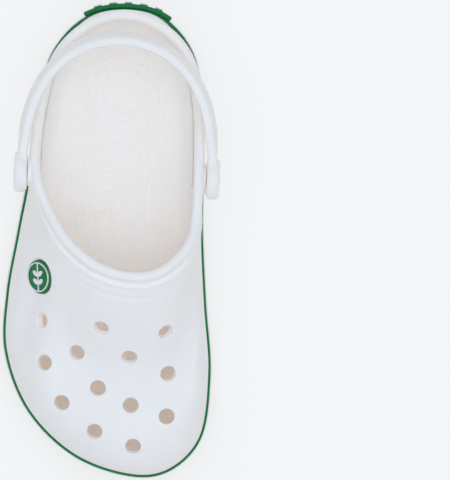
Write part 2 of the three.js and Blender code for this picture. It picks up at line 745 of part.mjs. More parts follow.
function mergedLathe(geometry) {
  geometry.deleteAttribute('normal');
  geometry.deleteAttribute('uv');
  return mergeVertices(geometry, 1e-4);
}

// ---------------------------------------------------------------- assembly

const COLOURS = { white: 0xe9eaee, green: 0x0b6b38, pale: 0xd9ddd6 };

function material(colour, roughness) {
  return new THREE.MeshStandardMaterial({ color: COLOURS[colour], roughness, metalness: 0 });
}

function piece(name, geometry, colour, roughness = 0.6) {
  const mesh = new THREE.Mesh(geometry, material(colour, roughness));
  mesh.name = name;
  return mesh;
}

const group = new THREE.Group();
group.add(
  piece('outsole', outsole(), 'green', 0.75),
  piece('midsole', midsole(), 'white'),
  piece('midsole_stripe', stripe(), 'green'),
  piece('footbed', footbed(), 'white', 0.7),
  piece('upper_shell', upperShell(), 'white'),
  piece('heel_label', heelLabel(), 'green'),
);
for (let i = 0; i < LABEL.ribs; i += 1) {
  group.add(piece(`heel_label_rib_${i + 1}`, heelRib(i), 'pale'));
}

const badge = new THREE.Group();
badge.position.copy(badgeSeat.point).addScaledVector(badgeSeat.normal, FIT - BADGE.sunk);
badge.quaternion.setFromUnitVectors(new THREE.Vector3(0, 0, 1), badgeSeat.normal);
const discRadius = BADGE.diameter / 2;
const disc = new THREE.CylinderGeometry(discRadius - BADGE.draft, discRadius, BADGE.thickness, 40);
disc.rotateX(Math.PI / 2).translate(0, 0, BADGE.thickness / 2);
const sprig = piece('badge_emblem', emblem(), 'white');
sprig.position.z = BADGE.thickness + FIT;
badge.add(piece('badge_disc', disc, 'green', 0.35), sprig);
group.add(badge);

const pivots = new THREE.Group();
pivots.position.copy(pivotMiddle);
pivots.rotation.z = pivotSkew;
const strapMesh = piece('heel_strap', strap(), 'white', 0.55);
strapMesh.rotation.x = STRAP.tilt;
pivots.add(strapMesh);
for (const { name, sign } of SIDES) {
  pivots.add(
    piece(`rivet_head_${name}`, rivetHead(sign), 'white', 0.4),
    piece(`rivet_base_${name}`, rivetBase(sign), 'white', 0.4),
  );
}
group.add(pivots);

export default group;
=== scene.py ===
import json
import math

import bmesh
import bpy
import numpy as np
from mathutils import Matrix, Vector


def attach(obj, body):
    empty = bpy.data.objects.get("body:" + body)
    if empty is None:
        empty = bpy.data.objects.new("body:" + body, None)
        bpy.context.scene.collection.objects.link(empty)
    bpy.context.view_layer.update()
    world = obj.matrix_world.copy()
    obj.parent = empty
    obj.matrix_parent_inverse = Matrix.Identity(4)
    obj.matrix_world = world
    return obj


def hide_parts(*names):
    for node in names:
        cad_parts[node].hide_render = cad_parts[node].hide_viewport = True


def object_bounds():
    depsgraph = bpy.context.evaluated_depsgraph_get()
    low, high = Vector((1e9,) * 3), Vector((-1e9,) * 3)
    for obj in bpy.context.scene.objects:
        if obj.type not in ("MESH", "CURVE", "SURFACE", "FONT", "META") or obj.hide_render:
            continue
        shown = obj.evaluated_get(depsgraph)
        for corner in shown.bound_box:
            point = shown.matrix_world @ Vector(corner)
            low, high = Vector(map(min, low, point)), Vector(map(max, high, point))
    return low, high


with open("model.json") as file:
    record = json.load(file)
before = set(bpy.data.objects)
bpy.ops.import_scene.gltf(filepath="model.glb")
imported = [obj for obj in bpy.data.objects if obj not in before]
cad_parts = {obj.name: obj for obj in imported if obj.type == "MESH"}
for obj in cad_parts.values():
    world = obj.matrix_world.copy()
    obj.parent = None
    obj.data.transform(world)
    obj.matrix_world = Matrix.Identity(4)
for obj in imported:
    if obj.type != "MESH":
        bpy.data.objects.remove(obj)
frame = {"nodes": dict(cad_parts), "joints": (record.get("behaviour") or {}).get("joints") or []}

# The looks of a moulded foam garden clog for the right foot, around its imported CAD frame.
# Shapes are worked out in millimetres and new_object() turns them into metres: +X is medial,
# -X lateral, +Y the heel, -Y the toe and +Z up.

CAD_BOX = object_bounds()
SCENE = bpy.context.scene
MM = 0.001

# ---- sizes, as in the CAD

LENGTH = 283.0
WIDTH = 124.6
COLLAR_HEIGHT = 97.0
HEEL_HEIGHT = 59.0
TOE_BOX_HEIGHT = 60.0
WALL = 4.6
FIT = 0.3

OUTSOLE = 6.0
MIDSOLE = 14.0
STRIPE = 5.6
STRIPE_INSET = 0.8
LEDGE = 1.6
OUTSOLE_INSET = 1.2
TOE_SPRING = 15.0
SPRING_START = -0.2
HEEL_BEVEL = 3.0
BEVEL_START = 0.41

BEAD_RADIUS = 3.0

MIDSOLE_BOTTOM = OUTSOLE + FIT
MIDSOLE_TOP = MIDSOLE_BOTTOM + MIDSOLE
STRIPE_BOTTOM = MIDSOLE_TOP + FIT
STRIPE_TOP = STRIPE_BOTTOM + STRIPE
UPPER_BASE = STRIPE_TOP + FIT
UPPER_INSET = STRIPE_INSET + LEDGE
INNER_INSET = UPPER_INSET + WALL

# Sections of the upper from the toe along the lateral side to the heel and back: the sole's
# and the rim's points in shares of the width and length, how high the rim stands (0 at the
# heel, 1 over the instep), the shoulder's run, height and slope, and the slope at the rim.
TOES = TOE_BOX_HEIGHT
RIBS = np.array([
    (0.152, -0.5, 0.12, -0.066, 1, 0.22, TOES, 3, 24),
    (-0.16, -0.461, 0.032, -0.06, 0.99, 0.23, TOES, 3, 25),
    (-0.401, -0.362, -0.056, -0.045, 0.96, 0.27, TOES, 5, 28),
    (-0.514, -0.233, -0.128, -0.022, 0.89, 0.46, TOES, 43, 38),
    (-0.506, -0.113, -0.193, 0.007, 0.77, 0.46, TOES + 1.9, 37, 42),
    (-0.453, 0.018, -0.265, 0.06, 0.6, 0.5, 55.0, 62, 62),
    (-0.401, 0.141, -0.326, 0.135, 0.46, 0.5, 49.2, 80, 80),
    (-0.365, 0.276, -0.313, 0.255, 0.02, 0.5, 42.8, 93, 90),
    (-0.282, 0.4, -0.235, 0.376, 0, 0.5, 42.8, 88, 90),
    (-0.127, 0.471, -0.106, 0.435, 0, 0.5, 42.8, 85, 88),
    (0.067, 0.49, 0.06, 0.458, 0, 0.5, 42.8, 87, 88),
    (0.258, 0.469, 0.222, 0.435, 0, 0.5, 42.8, 85, 88),
    (0.394, 0.4, 0.342, 0.378, 0, 0.5, 42.8, 88, 90),
    (0.441, 0.293, 0.389, 0.276, 0.02, 0.5, 42.8, 93, 90),
    (0.449, 0.159, 0.388, 0.148, 0.46, 0.5, 49.2, 88, 88),
    (0.445, 0.028, 0.37, 0.032, 0.61, 0.5, 55.0, 78, 74),
    (0.461, -0.134, 0.339, -0.007, 0.77, 0.4, TOES, 48, 46),
    (0.482, -0.283, 0.289, -0.034, 0.92, 0.34, TOES + 1.5, 14, 32),
    (0.433, -0.42, 0.237, -0.052, 0.98, 0.25, TOES, 4, 27),
    (0.305, -0.481, 0.181, -0.063, 1, 0.22, TOES, 3, 24),
])
SOLE_POINTS = np.column_stack([RIBS[:, 0] * WIDTH, RIBS[:, 1] * LENGTH, 0 * RIBS[:, 0]])
RIM_POINTS = np.column_stack([
    RIBS[:, 2] * WIDTH,
    RIBS[:, 3] * LENGTH,
    HEEL_HEIGHT + (COLLAR_HEIGHT - HEEL_HEIGHT) * RIBS[:, 4],
])

VENT_DIAMETER = 9.2
VENTS = [
    (-0.328, -0.167), (-0.047, -0.183), (0.259, -0.191),
    (-0.161, -0.234), (0.086, -0.244),
    (-0.317, -0.255), (0.270, -0.278), (-0.062, -0.308),
    (-0.234, -0.339), (0.093, -0.344), (0.263, -0.367),
    (-0.079, -0.399), (0.104, -0.430),
]

# ---- curves


def closed_curve(points, t, centripetal=True):
    """Points of the closed Catmull-Rom curve through points, at turns t from 0 to 1."""
    count = len(points)
    place = np.mod(t, 1.0) * count
    start = np.floor(place).astype(int)
    w = (place - start)[:, None]
    p0, p1, p2, p3 = (points[(start + k) % count] for k in (-1, 0, 1, 2))
    if centripetal:
        d0, d1, d2 = (
            np.sqrt(np.linalg.norm(b - a, axis=1))[:, None] for a, b in ((p0, p1), (p1, p2), (p2, p3))
        )
        leave = ((p1 - p0) / d0 - (p2 - p0) / (d0 + d1) + (p2 - p1) / d1) * d1
        arrive = ((p2 - p1) / d1 - (p3 - p1) / (d1 + d2) + (p3 - p2) / d2) * d1
    else:
        leave = (p2 - p0) / 2
        arrive = (p3 - p1) / 2
    return (
        (2 * w**3 - 3 * w**2 + 1) * p1
        + (w**3 - 2 * w**2 + w) * leave
        + (3 * w**2 - 2 * w**3) * p2
        + (w**3 - w**2) * arrive
    )


def inset_curve(points, t, inset):
    """The closed curve's points at turns t, moved level towards its inside by inset."""
    step = 1e-3
    along = (closed_curve(points, t + step) - closed_curve(points, t - step))[:, :2]
    along /= np.linalg.norm(along, axis=1)[:, None]
    moved = closed_curve(points, t)
    moved[:, :2] += np.column_stack([along[:, 1], -along[:, 0]]) * np.reshape(inset, (-1, 1))
    return moved


def even_turns(count):
    """Turns that lie evenly along the sole's outline."""
    fine = np.linspace(0, 1, 4001)
    outline = closed_curve(SOLE_POINTS, fine)
    reached = np.concatenate([[0], np.cumsum(np.linalg.norm(np.diff(outline, axis=0), axis=1))])
    return np.interp(np.arange(count) / count * reached[-1], reached, fine)


def lift(y):
    """How far the toe spring and the heel bevel raise the sole's layers at y."""
    toe = np.maximum(0, (SPRING_START - y / LENGTH) / (0.5 + SPRING_START))
    heel = np.maximum(0, (y / LENGTH - BEVEL_START) / (0.5 - BEVEL_START))
    return TOE_SPRING * toe**2 + HEEL_BEVEL * heel**2


def bell(place, width):
    """1 at place 0, falling away over about half the width on both sides."""
    return np.exp(-((2 * place / width) ** 2))


def smooth(x, low, high):
    """0 below low and 1 above high, eased in between."""
    share = np.clip((x - low) / (high - low), 0, 1)
    return share * share * (3 - 2 * share)


# ---- meshes

ROUND_SIDES = 96
BORE_SIDES = 64


def grid_quads(rows, columns, wrap_rows=False, wrap_columns=False):
    """Faces of a grid of rows x columns points."""
    i = np.arange(rows if wrap_rows else rows - 1)
    j = np.arange(columns if wrap_columns else columns - 1)
    i, j = (a.ravel() for a in np.meshgrid(i, j, indexing="ij"))
    i1, j1 = (i + 1) % rows, (j + 1) % columns
    return np.column_stack([i * columns + j, i * columns + j1, i1 * columns + j1, i1 * columns + j])


def linked(name, data):
    """New object of the scene."""
    obj = bpy.data.objects.new(name, data)
    SCENE.collection.objects.link(obj)
    return obj


def new_object(name, points, faces):
    """New mesh object from points in millimetres."""
    mesh = bpy.data.meshes.new(name)
    places = (np.asarray(points, float) * MM).tolist()
    mesh.from_pydata(places, [], [list(map(int, f)) for f in faces])
    mesh.update()
    return linked(name, mesh)


def face_outward(obj):
    """Turns a closed mesh's faces outward, by the sign of its volume."""
    mesh = bmesh.new()
    mesh.from_mesh(obj.data)
    if mesh.calc_volume(signed=True) < 0:
        obj.data.flip_normals()
    mesh.free()


def solid(name, points, faces):
    """New closed mesh object, its faces outward."""
    obj = new_object(name, points, faces)
    face_outward(obj)
    return obj


def combine(obj, tools, operation):
    """Cuts or joins tools with obj, in turn, and removes them."""
    for tool in tools:
        modifier = obj.modifiers.new("combine", "BOOLEAN")
        modifier.object = tool
        modifier.operation = operation
        modifier.solver = "MANIFOLD"
    apply_modifiers(obj)
    for tool in tools:
        bpy.data.objects.remove(tool)


def apply_modifiers(obj):
    """Makes the modifiers' result the object's mesh."""
    graph = bpy.context.evaluated_depsgraph_get()
    made = bpy.data.meshes.new_from_object(obj.evaluated_get(graph))
    made.name = obj.name
    obj.modifiers.clear()
    obj.data = made


def finish_piece(obj, body, nodes, material, sharp=35):
    """Shades, colours and declares a finished piece."""
    obj.data.shade_smooth()
    obj.data.set_sharp_from_angle(angle=math.radians(sharp))
    obj.data.materials.clear()
    obj.data.materials.append(material)
    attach(obj, body)
    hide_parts(*nodes)


def place_points(points, matrix):
    points = np.asarray(points, float)
    return points @ np.array(matrix.to_3x3()).T + np.array(matrix.translation)


def stacked(name, rings, low, high, matrix):
    """Closed solid of rings of points round Z, with a pole at each end."""
    sides = len(rings[0])
    points = np.vstack([*rings, (0, 0, low), (0, 0, high)])
    faces = [*grid_quads(len(rings), sides, wrap_columns=True)]
    bottom, top, last = len(points) - 2, len(points) - 1, (len(rings) - 1) * sides
    for i in range(sides):
        j = (i + 1) % sides
        faces += [(bottom, j, i), (top, last + i, last + j)]
    return solid(name, place_points(points, matrix), faces)


def circle_of(sides):
    """Points of the unit circle."""
    angle = np.arange(sides) / sides * 2 * np.pi
    return np.column_stack([np.cos(angle), np.sin(angle)])


def turned(name, profile, matrix, sides=ROUND_SIDES):
    """Closed solid turned about Z from (radius, height) points; the first and last lie on Z."""
    circle = circle_of(sides)
    rings = [np.column_stack([circle * r, np.full(sides, float(h))]) for r, h in profile[1:-1]]
    return stacked(name, rings, profile[0][1], profile[-1][1], matrix)


def swept(name, columns, matrix=Matrix.Identity(4), closed=False):
    """Solid swept from a closed section; each of its points gives a column of places."""
    points = np.stack(columns, axis=1)
    rows, width = points.shape[:2]
    faces = [*grid_quads(rows, width, wrap_rows=closed, wrap_columns=True)]
    if not closed:
        faces += [range(width)[::-1], range((rows - 1) * width, rows * width)]
    return solid(name, place_points(points.reshape(-1, 3), matrix), faces)


def facing(direction, origin):
    """Matrix that takes +Z to direction and the origin to a point."""
    turn = Vector(direction).to_track_quat("Z", "Y").to_matrix().to_4x4()
    return Matrix.Translation(Vector(origin)) @ turn


def rounded(radius, low, high, fillet):
    """Profile of a disc with filleted rims from low to high."""
    arc = np.linspace(0, np.pi / 2, 6)
    inner = radius - fillet
    bottom = [(inner + fillet * math.sin(a), low + fillet - fillet * math.cos(a)) for a in arc]
    top = [(inner + fillet * math.cos(a), high - fillet + fillet * math.sin(a)) for a in arc]
    return [(0, low), *bottom, *top, (0, high)]


def bore_profile(radius, low, high):
    """Profile of a plain cylinder."""
    return [(0, low), (radius, low), (radius, high), (0, high)]


# ---- the upper's skin

SECTION_STEPS = 40
BEZIER_PULL = 0.55
# How much further in than usual the upper stands on the stripe, at shares of the length.
LEDGE_CHANGE = ((0.05, 0.25, 0.445, 0.484), (-0.15, 0.9, 1.3, -0.8))


def bezier(start, start_angle, end, end_angle):
    """Points of the cubic section between two places with a direction at each, one row a turn."""
    span = end - start
    leave = np.column_stack([np.cos(start_angle), np.sin(start_angle)])
    arrive = np.column_stack([np.cos(end_angle), np.sin(end_angle)])
    first = start + BEZIER_PULL * np.sum(span * leave, axis=1)[:, None] * leave
    second = end - BEZIER_PULL * np.sum(span * arrive, axis=1)[:, None] * arrive
    w = np.linspace(0, 1, SECTION_STEPS)[None, :, None]
    return (
        (1 - w) ** 3 * start[:, None]
        + 3 * w * (1 - w) ** 2 * first[:, None]
        + 3 * w**2 * (1 - w) * second[:, None]
        + w**3 * end[:, None]
    )


def meridians(turns):
    """The skin's middle at each turn from the sole to the bead's tip, and the way along it."""
    along = closed_curve(SOLE_POINTS, turns)[:, 1] / LENGTH
    foot = inset_curve(SOLE_POINTS, turns, UPPER_INSET + WALL / 2 + np.interp(along, *LEDGE_CHANGE))
    bead = inset_curve(RIM_POINTS, turns, -BEAD_RADIUS)
    run, shoulder_height, shoulder_slope, slope = closed_curve(RIBS[:, 5:9], turns, False).T
    across = (bead - foot)[:, :2]
    reach = np.linalg.norm(across, axis=1)
    inward = across / reach[:, None]
    base = np.column_stack([0 * reach, UPPER_BASE + lift(foot[:, 1])])
    shoulder = np.column_stack([run * reach, shoulder_height])
    rim = np.column_stack([reach, bead[:, 2]])
    upright = np.full(len(turns), np.pi / 2)
    lower = bezier(base, upright, shoulder, np.radians(shoulder_slope))
    upper = bezier(shoulder, np.radians(shoulder_slope), rim, np.radians(slope))
    ahead = np.column_stack([np.cos(np.radians(slope)), np.sin(np.radians(slope))])
    tip = (rim + BEAD_RADIUS * ahead)[:, None]
    flat = np.concatenate([lower, upper[:, 1:], tip], axis=1)
    points = np.empty((len(turns), flat.shape[1], 3))
    points[..., :2] = foot[:, None, :2] + flat[..., :1] * inward[:, None]
    points[..., 2] = flat[..., 1]
    steps = np.linalg.norm(np.diff(points, axis=1), axis=2)
    reached = np.concatenate([np.zeros((len(turns), 1)), np.cumsum(steps, axis=1)], axis=1)
    return points, reached


class Skin:
    """The upper's middle surface on a grid of turns and shares of the way to the bead's tip."""

    def __init__(self, turns, from_tip):
        """from_tip(length) gives the rows' distances from the tip, for a section of that length."""
        self.turns = turns
        points, reached = meridians(turns)
        self.from_tip = np.array([from_tip(length) for length in reached[:, -1]])
        along = reached[:, -1:] - self.from_tip
        self.middle = np.stack([
            np.column_stack([np.interp(a, r, p[:, k]) for k in range(3)])
            for a, r, p in zip(along, reached, points)
        ])
        up = np.gradient(self.middle, axis=1)
        round_ = np.roll(self.middle, -1, axis=0) - np.roll(self.middle, 1, axis=0)
        normal = np.cross(up, round_)
        self.normal = normal / np.linalg.norm(normal, axis=2)[..., None]

    def face(self, offset):
        return self.middle + self.normal * offset[..., None]


# ---- places taken from the frame


def node_points(name):
    """Points of a CAD node in millimetres."""
    return np.array([v.co for v in frame["nodes"][name].data.vertices]) / MM


def disc_seat(name):
    """Centre and outward normal of a flat round CAD node."""
    points = node_points(name)
    middle = points.mean(axis=0)
    normal = np.linalg.eigh(np.cov((points - middle).T))[1][:, 0]
    return middle, normal * np.sign(normal[2])


HINGE = frame["joints"][0]
PIVOT_MIDDLE = np.array(HINGE["pos_m"]) / MM
PIVOT_AXIS = np.array(HINGE["axis"])
PIVOT_SKEW = math.atan2(PIVOT_AXIS[1], PIVOT_AXIS[0])

PIVOT_BOSS = 17.0
PIVOT_STANDOFF = 2.2
PIVOT_INNER_RECESS = 1.2
PIVOT_BORE = 8.2

STRAP_THICKNESS = 5.6
STRAP_REAR = 20.0
STRAP_ARM = 17.0
STRAP_PAD = 24.0
STRAP_PAD_THICKNESS = 7.8
STRAP_RECESS = 1.8
STRAP_ROUNDNESS = 2.7
STRAP_TILT = math.radians(6)
STRAP_ARM_IN = 0.6
STRAP_LEAN = 0.15
STRAP_LEAN_FROM = (0.02, 0.25)
STRAP_REAR_Y = 122.0

RIVET_HEAD = 17.0
RIVET_HEAD_THICKNESS = 1.8
RIVET_RIM = 0.6
RIVET_STEM = 7.4
RIVET_BASE = 12.5
RIVET_BASE_THICKNESS = 1.6
RIVET_SNAP = 9.6
RIVET_SNAP_LENGTH = 1.6

BADGE_DIAMETER = 20.0
BADGE_THICKNESS = 2.2
BADGE_SUNK = 3.0
BADGE_MIDDLE, BADGE_NORMAL = disc_seat("badge_disc")

HEAD_END = ((node_points("rivet_head_medial") - PIVOT_MIDDLE) @ PIVOT_AXIS).max()
PAD_OUTER = HEAD_END - RIVET_HEAD_THICKNESS - FIT + STRAP_RECESS
PAD_INNER = PAD_OUTER - STRAP_PAD_THICKNESS
BOSS_REACH = PAD_INNER - FIT
BOSS_DEPTH = PIVOT_STANDOFF + WALL - PIVOT_INNER_RECESS
PIVOT_FRAME = Matrix.Translation(Vector(PIVOT_MIDDLE)) @ Matrix.Rotation(PIVOT_SKEW, 4, "Z")
# The same frame with its Z along the axis, outward on either side.
SIDE_FRAMES = {
    name: PIVOT_FRAME @ Matrix.Rotation(math.radians(90 * sign), 4, "Y")
    for name, sign in (("lateral", -1), ("medial", 1))
}

# ---- the upper

AROUND = 640
WALL_ROWS, FINE_ROWS, BEAD_ROWS = 84, 56, 13
FINE_FROM = 19.0
INSIDE_BLEND = 14.0
GROOVE_AT = 6.7
GROOVE_WIDTH = 2.4
GROOVE_DEPTH = 1.3
RIDGE_HEIGHT = 0.8
RIDGE_AT = 8.8
RIDGE_WIDTH = 1.7
CREASE_DEPTH = 0.35
CREASE_AT = 16.0
CREASE_WIDTH = 3.0
CREASE_TURNS = (0.1, 0.2)
LIP = 0.5
LIP_CLEAR = 0.4
LIP_OVER = 0.02
CUT = 16.0
VENT_CUT = 12.0
BOSS_FILLET = 0.7


def bead_rows(length):
    """Distances from the bead's tip: even up the wall, closer over the ridge and round the bead."""
    round_tip = BEAD_RADIUS * (1 - np.cos(np.linspace(np.pi / 2, 0, BEAD_ROWS)))
    return np.concatenate([
        np.linspace(length, FINE_FROM, WALL_ROWS, endpoint=False),
        np.linspace(FINE_FROM, BEAD_RADIUS, FINE_ROWS, endpoint=False),
        round_tip,
    ])


def half_wall(from_tip):
    """Half the plain wall's thickness, round at the bead."""
    circle = np.sqrt(np.maximum(0, BEAD_RADIUS**2 - (from_tip - BEAD_RADIUS) ** 2))
    return np.where(from_tip < BEAD_RADIUS, circle, np.maximum(circle, WALL / 2))


def half_inside(from_tip):
    """Half the wall inside its middle: it thins gently below the bead, with no step."""
    past_bead = bell(from_tip - BEAD_RADIUS, INSIDE_BLEND)
    wall = WALL / 2 + (BEAD_RADIUS - WALL / 2) * past_bead
    return np.where(from_tip < BEAD_RADIUS, half_wall(from_tip), wall)


def half_outside(skin):
    """Half the wall outside its middle: a groove, a fine ridge and a crease follow the bead."""
    from_tip = skin.from_tip
    groove = GROOVE_DEPTH * bell(from_tip - GROOVE_AT, GROOVE_WIDTH)
    ridge = RIDGE_HEIGHT * bell(from_tip - RIDGE_AT, RIDGE_WIDTH)
    from_toe = np.abs((skin.turns + 0.5) % 1 - 0.5)[:, None]
    near_toe = 1 - smooth(from_toe, *CREASE_TURNS)
    crease = CREASE_DEPTH * bell(from_tip - CREASE_AT, CREASE_WIDTH) * near_toe
    shaped = np.maximum(WALL / 2 - groove + ridge - crease, 0)
    circle = half_wall(from_tip)
    under_bead = np.where(circle > WALL / 2, np.maximum(circle, shaped), shaped)
    return np.where(from_tip < BEAD_RADIUS, circle, under_bead)


def upper_faces():
    """The outside and inside faces of the upper, each a grid of turns and rows."""
    skin = Skin(even_turns(AROUND), bead_rows)
    outside = skin.face(half_outside(skin))
    inside = skin.face(-half_inside(skin.from_tip))
    for face in (outside, inside):
        face[:, 0, 2] = UPPER_BASE + lift(face[:, 0, 1])
    return outside, inside


OUTSIDE, INSIDE = upper_faces()


class Patch:
    """The outside's surface round a point, as a smooth height over the plane of its normal."""

    REACH = 9.0

    def __init__(self, x, y):
        points = OUTSIDE.reshape(-1, 3)
        gap = np.hypot(points[:, 0] - x, points[:, 1] - y)
        near = points[(gap < self.REACH) & (points[:, 2] > TOE_BOX_HEIGHT - 30)]
        level = self.fitted(near[:, 0] - x, near[:, 1] - y, near[:, 2])
        self.matrix = facing((-level[1], -level[2], 1.0), (x, y, level[0]))
        self.fit = self.fitted(*place_points(near, self.matrix.inverted()).T)

    @staticmethod
    def terms(u, v):
        cubic = u**3, u * u * v, u * v * v, v**3
        return np.column_stack([np.ones(len(u)), u, v, u * u, u * v, v * v, *cubic])

    def fitted(self, u, v, height):
        return np.linalg.lstsq(self.terms(u, v), height, rcond=None)[0]

    def height(self, u, v):
        return self.terms(u, v) @ self.fit


def lipped_tool(patch, radius, depth):
    """Cutter of a round hole whose edge rolls over into the patch's surface."""
    circle = circle_of(BORE_SIDES)
    wide = radius + LIP + LIP_CLEAR
    levels = [(radius, None, -depth)]
    for a in np.linspace(0, np.pi / 2, 7):
        levels.append((radius + LIP * (1 - math.cos(a)), LIP * (math.sin(a) - 1), None))
    levels += [(wide, LIP_OVER, None), (wide, None, CUT)]
    rings = []
    for r, over, flat in levels:
        u, v = (r * circle).T
        height = np.full(BORE_SIDES, flat) if over is None else patch.height(u, v) + over
        rings.append(np.column_stack([u, v, height]))
    return stacked("tool", rings, -depth, CUT, patch.matrix)


def build_upper(material):
    """The upper in one skin, with its pivot bosses, bores, vents and badge pocket."""
    rows = OUTSIDE.shape[1] + INSIDE.shape[1] - 1
    loops = np.concatenate([OUTSIDE, INSIDE[:, -2::-1]], axis=1)
    faces = grid_quads(AROUND, rows, wrap_rows=True, wrap_columns=True)
    upper = solid("upper", loops.reshape(-1, 3), faces)
    bosses, cuts = [], []
    for matrix in SIDE_FRAMES.values():
        low = BOSS_REACH - BOSS_DEPTH
        boss = rounded(PIVOT_BOSS / 2, low, BOSS_REACH, BOSS_FILLET)
        bosses.append(turned("boss", boss, matrix))
        bore = bore_profile(PIVOT_BORE / 2, low - CUT, BOSS_REACH + CUT)
        cuts.append(turned("bore", bore, matrix, BORE_SIDES))
        seat = bore_profile(RIVET_BASE / 2 + 2 * FIT, low - CUT, low)
        cuts.append(turned("seat", seat, matrix, BORE_SIDES))
    combine(upper, bosses, "UNION")
    for x, y in VENTS:
        patch = Patch(x * WIDTH, y * LENGTH)
        cuts.append(lipped_tool(patch, VENT_DIAMETER / 2, VENT_CUT))
    badge = Patch(*BADGE_MIDDLE[:2])
    cuts.append(lipped_tool(badge, BADGE_DIAMETER / 2 + FIT, BADGE_SUNK))
    combine(upper, cuts, "DIFFERENCE")
    finish_piece(upper, "clog", ["upper_shell"], material, sharp=50)


# ---- the sole

SOLE_AROUND = 640


def merge_close(obj):
    """Joins vertices that lie at one place."""
    mesh = bmesh.new()
    mesh.from_mesh(obj.data)
    bmesh.ops.remove_doubles(mesh, verts=mesh.verts, dist=1e-7)
    bmesh.ops.recalc_face_normals(mesh, faces=mesh.faces)
    mesh.to_mesh(obj.data)
    mesh.free()
    face_outward(obj)


def slab(name, rings, around, bottom_steps, top_steps):
    """Closed solid of rings stacked from the bottom up, each an inset of the sole's outline and
    a height(x, y), with its two ends spanned from side to side."""
    turns = np.arange(around) / around
    sides = []
    for inset, height in rings:
        ring = inset_curve(SOLE_POINTS, turns, inset)
        ring[:, 2] = height(ring[:, 0], ring[:, 1])
        sides.append(ring)
    points = [np.vstack(sides)]
    faces = [grid_quads(len(rings), around, wrap_columns=True)]
    half = np.arange(around // 2 + 1)
    for end, steps in ((0, bottom_steps), (-1, top_steps)):
        ring, height = sides[end], rings[end][1]
        share = np.linspace(0, 1, steps + 1)[None, :, None]
        cap = ring[half][:, None] * (1 - share) + ring[-half % around][:, None] * share
        cap = cap.reshape(-1, 3)
        cap[:, 2] = height(cap[:, 0], cap[:, 1])
        faces.append(grid_quads(len(half), steps + 1) + sum(map(len, points)))
        points.append(cap)
    obj = new_object(name, np.vstack(points), np.vstack(faces))
    merge_close(obj)
    return obj


def sole_lift(x, y):
    return lift(y)


def above(height, ground=sole_lift):
    """A height(x, y) that is another one raised; the sole's stack rises from sole_lift."""
    return lambda x, y: ground(x, y) + height


def band(name, t0, t1, steps, section):
    """Solid along the sole's outline between two turns; section is [inset, height] points."""
    closed = t1 - t0 == 1
    turns = t0 + (t1 - t0) * np.arange(steps if closed else steps + 1) / steps
    columns = []
    for inset, height in section:
        column = inset_curve(SOLE_POINTS, turns, inset)
        column[:, 2] = height + lift(column[:, 1])
        columns.append(column)
    return swept(name, columns, closed=closed)


def rounded_section(inset_out, inset_in, low, high, outer_round):
    """Section of a band with round corners on its outside."""
    arc = np.linspace(0, np.pi / 2, 5)
    across, along = outer_round * (1 - np.sin(arc)), outer_round * (1 - np.cos(arc))
    lower = zip(inset_out + across, low + along)
    upper = zip(inset_out + along, high - across)
    return [*lower, *upper, (inset_in, high), (inset_in, low)]


# ---- the footbed

FOOTBED_HEEL = 28.0
FOOTBED_FOREFOOT = 24.5
FOOTBED_CUP = 2.2
FOOTBED_ARCH = 4.0
FOOTBED_INSET = INNER_INSET + 0.9

FOOTBED_AROUND = 1240
COVE_WIDTH = 10.0
COVE_RISE = 11.0
COVE_GAP = 0.1
COVE_CURVE = 2.6
COVE_EDGE, COVE_LAP = 0.1, 0.5

MARK_CENTRE = (8.3, 89.0)
MARK_RADIUS = 12.9
LINE_RADII = (17.5, 21.0, 24.4, 28.5)
LINE_WIDTH = 1.3
LINE_SWEEP = (25.0, 80.0)
LINE_FRONT = 0.5
LINE_FRONT_PITCH = 7.0
LINE_FADE = (-30.0, 10.0)
LINE_FADE_PITCH = 12.0
OUTER_LINE_END = (40.0, 60.0)
LINE_SHARE = 0.85
LINE_WAVE, LINE_WAVE_TURN = 0.25, 1.5
MARK_FACE = 0.5
BARS = 10
BAR_TOP = 70.5
BAR_PITCH = 5.6
BAR_WIDTH = 1.8
BAR_BOW = 0.01
RELIEF = 0.65
BAND_HEIGHT = 0.1
PATCH_HEIGHT = 0.04


def footbed_height(x, y):
    """The plain footbed: higher at the heel and the arch, and cupped at its sides."""
    along, beside = y / LENGTH, x / WIDTH
    across = np.minimum(1, np.abs(beside - 0.04) / 0.42)
    climb = FOOTBED_FOREFOOT + (FOOTBED_HEEL - FOOTBED_FOREFOOT) * smooth(along, -0.25, 0.15)
    arch = FOOTBED_ARCH * bell(along - 0.05, 0.36) * smooth(beside, 0.08, 0.36)
    return climb + FOOTBED_CUP * across**2 + arch + lift(y)


def line_at(distance, width=LINE_WIDTH):
    """Profile of a raised line at a distance from its middle."""
    return bell(distance, width)


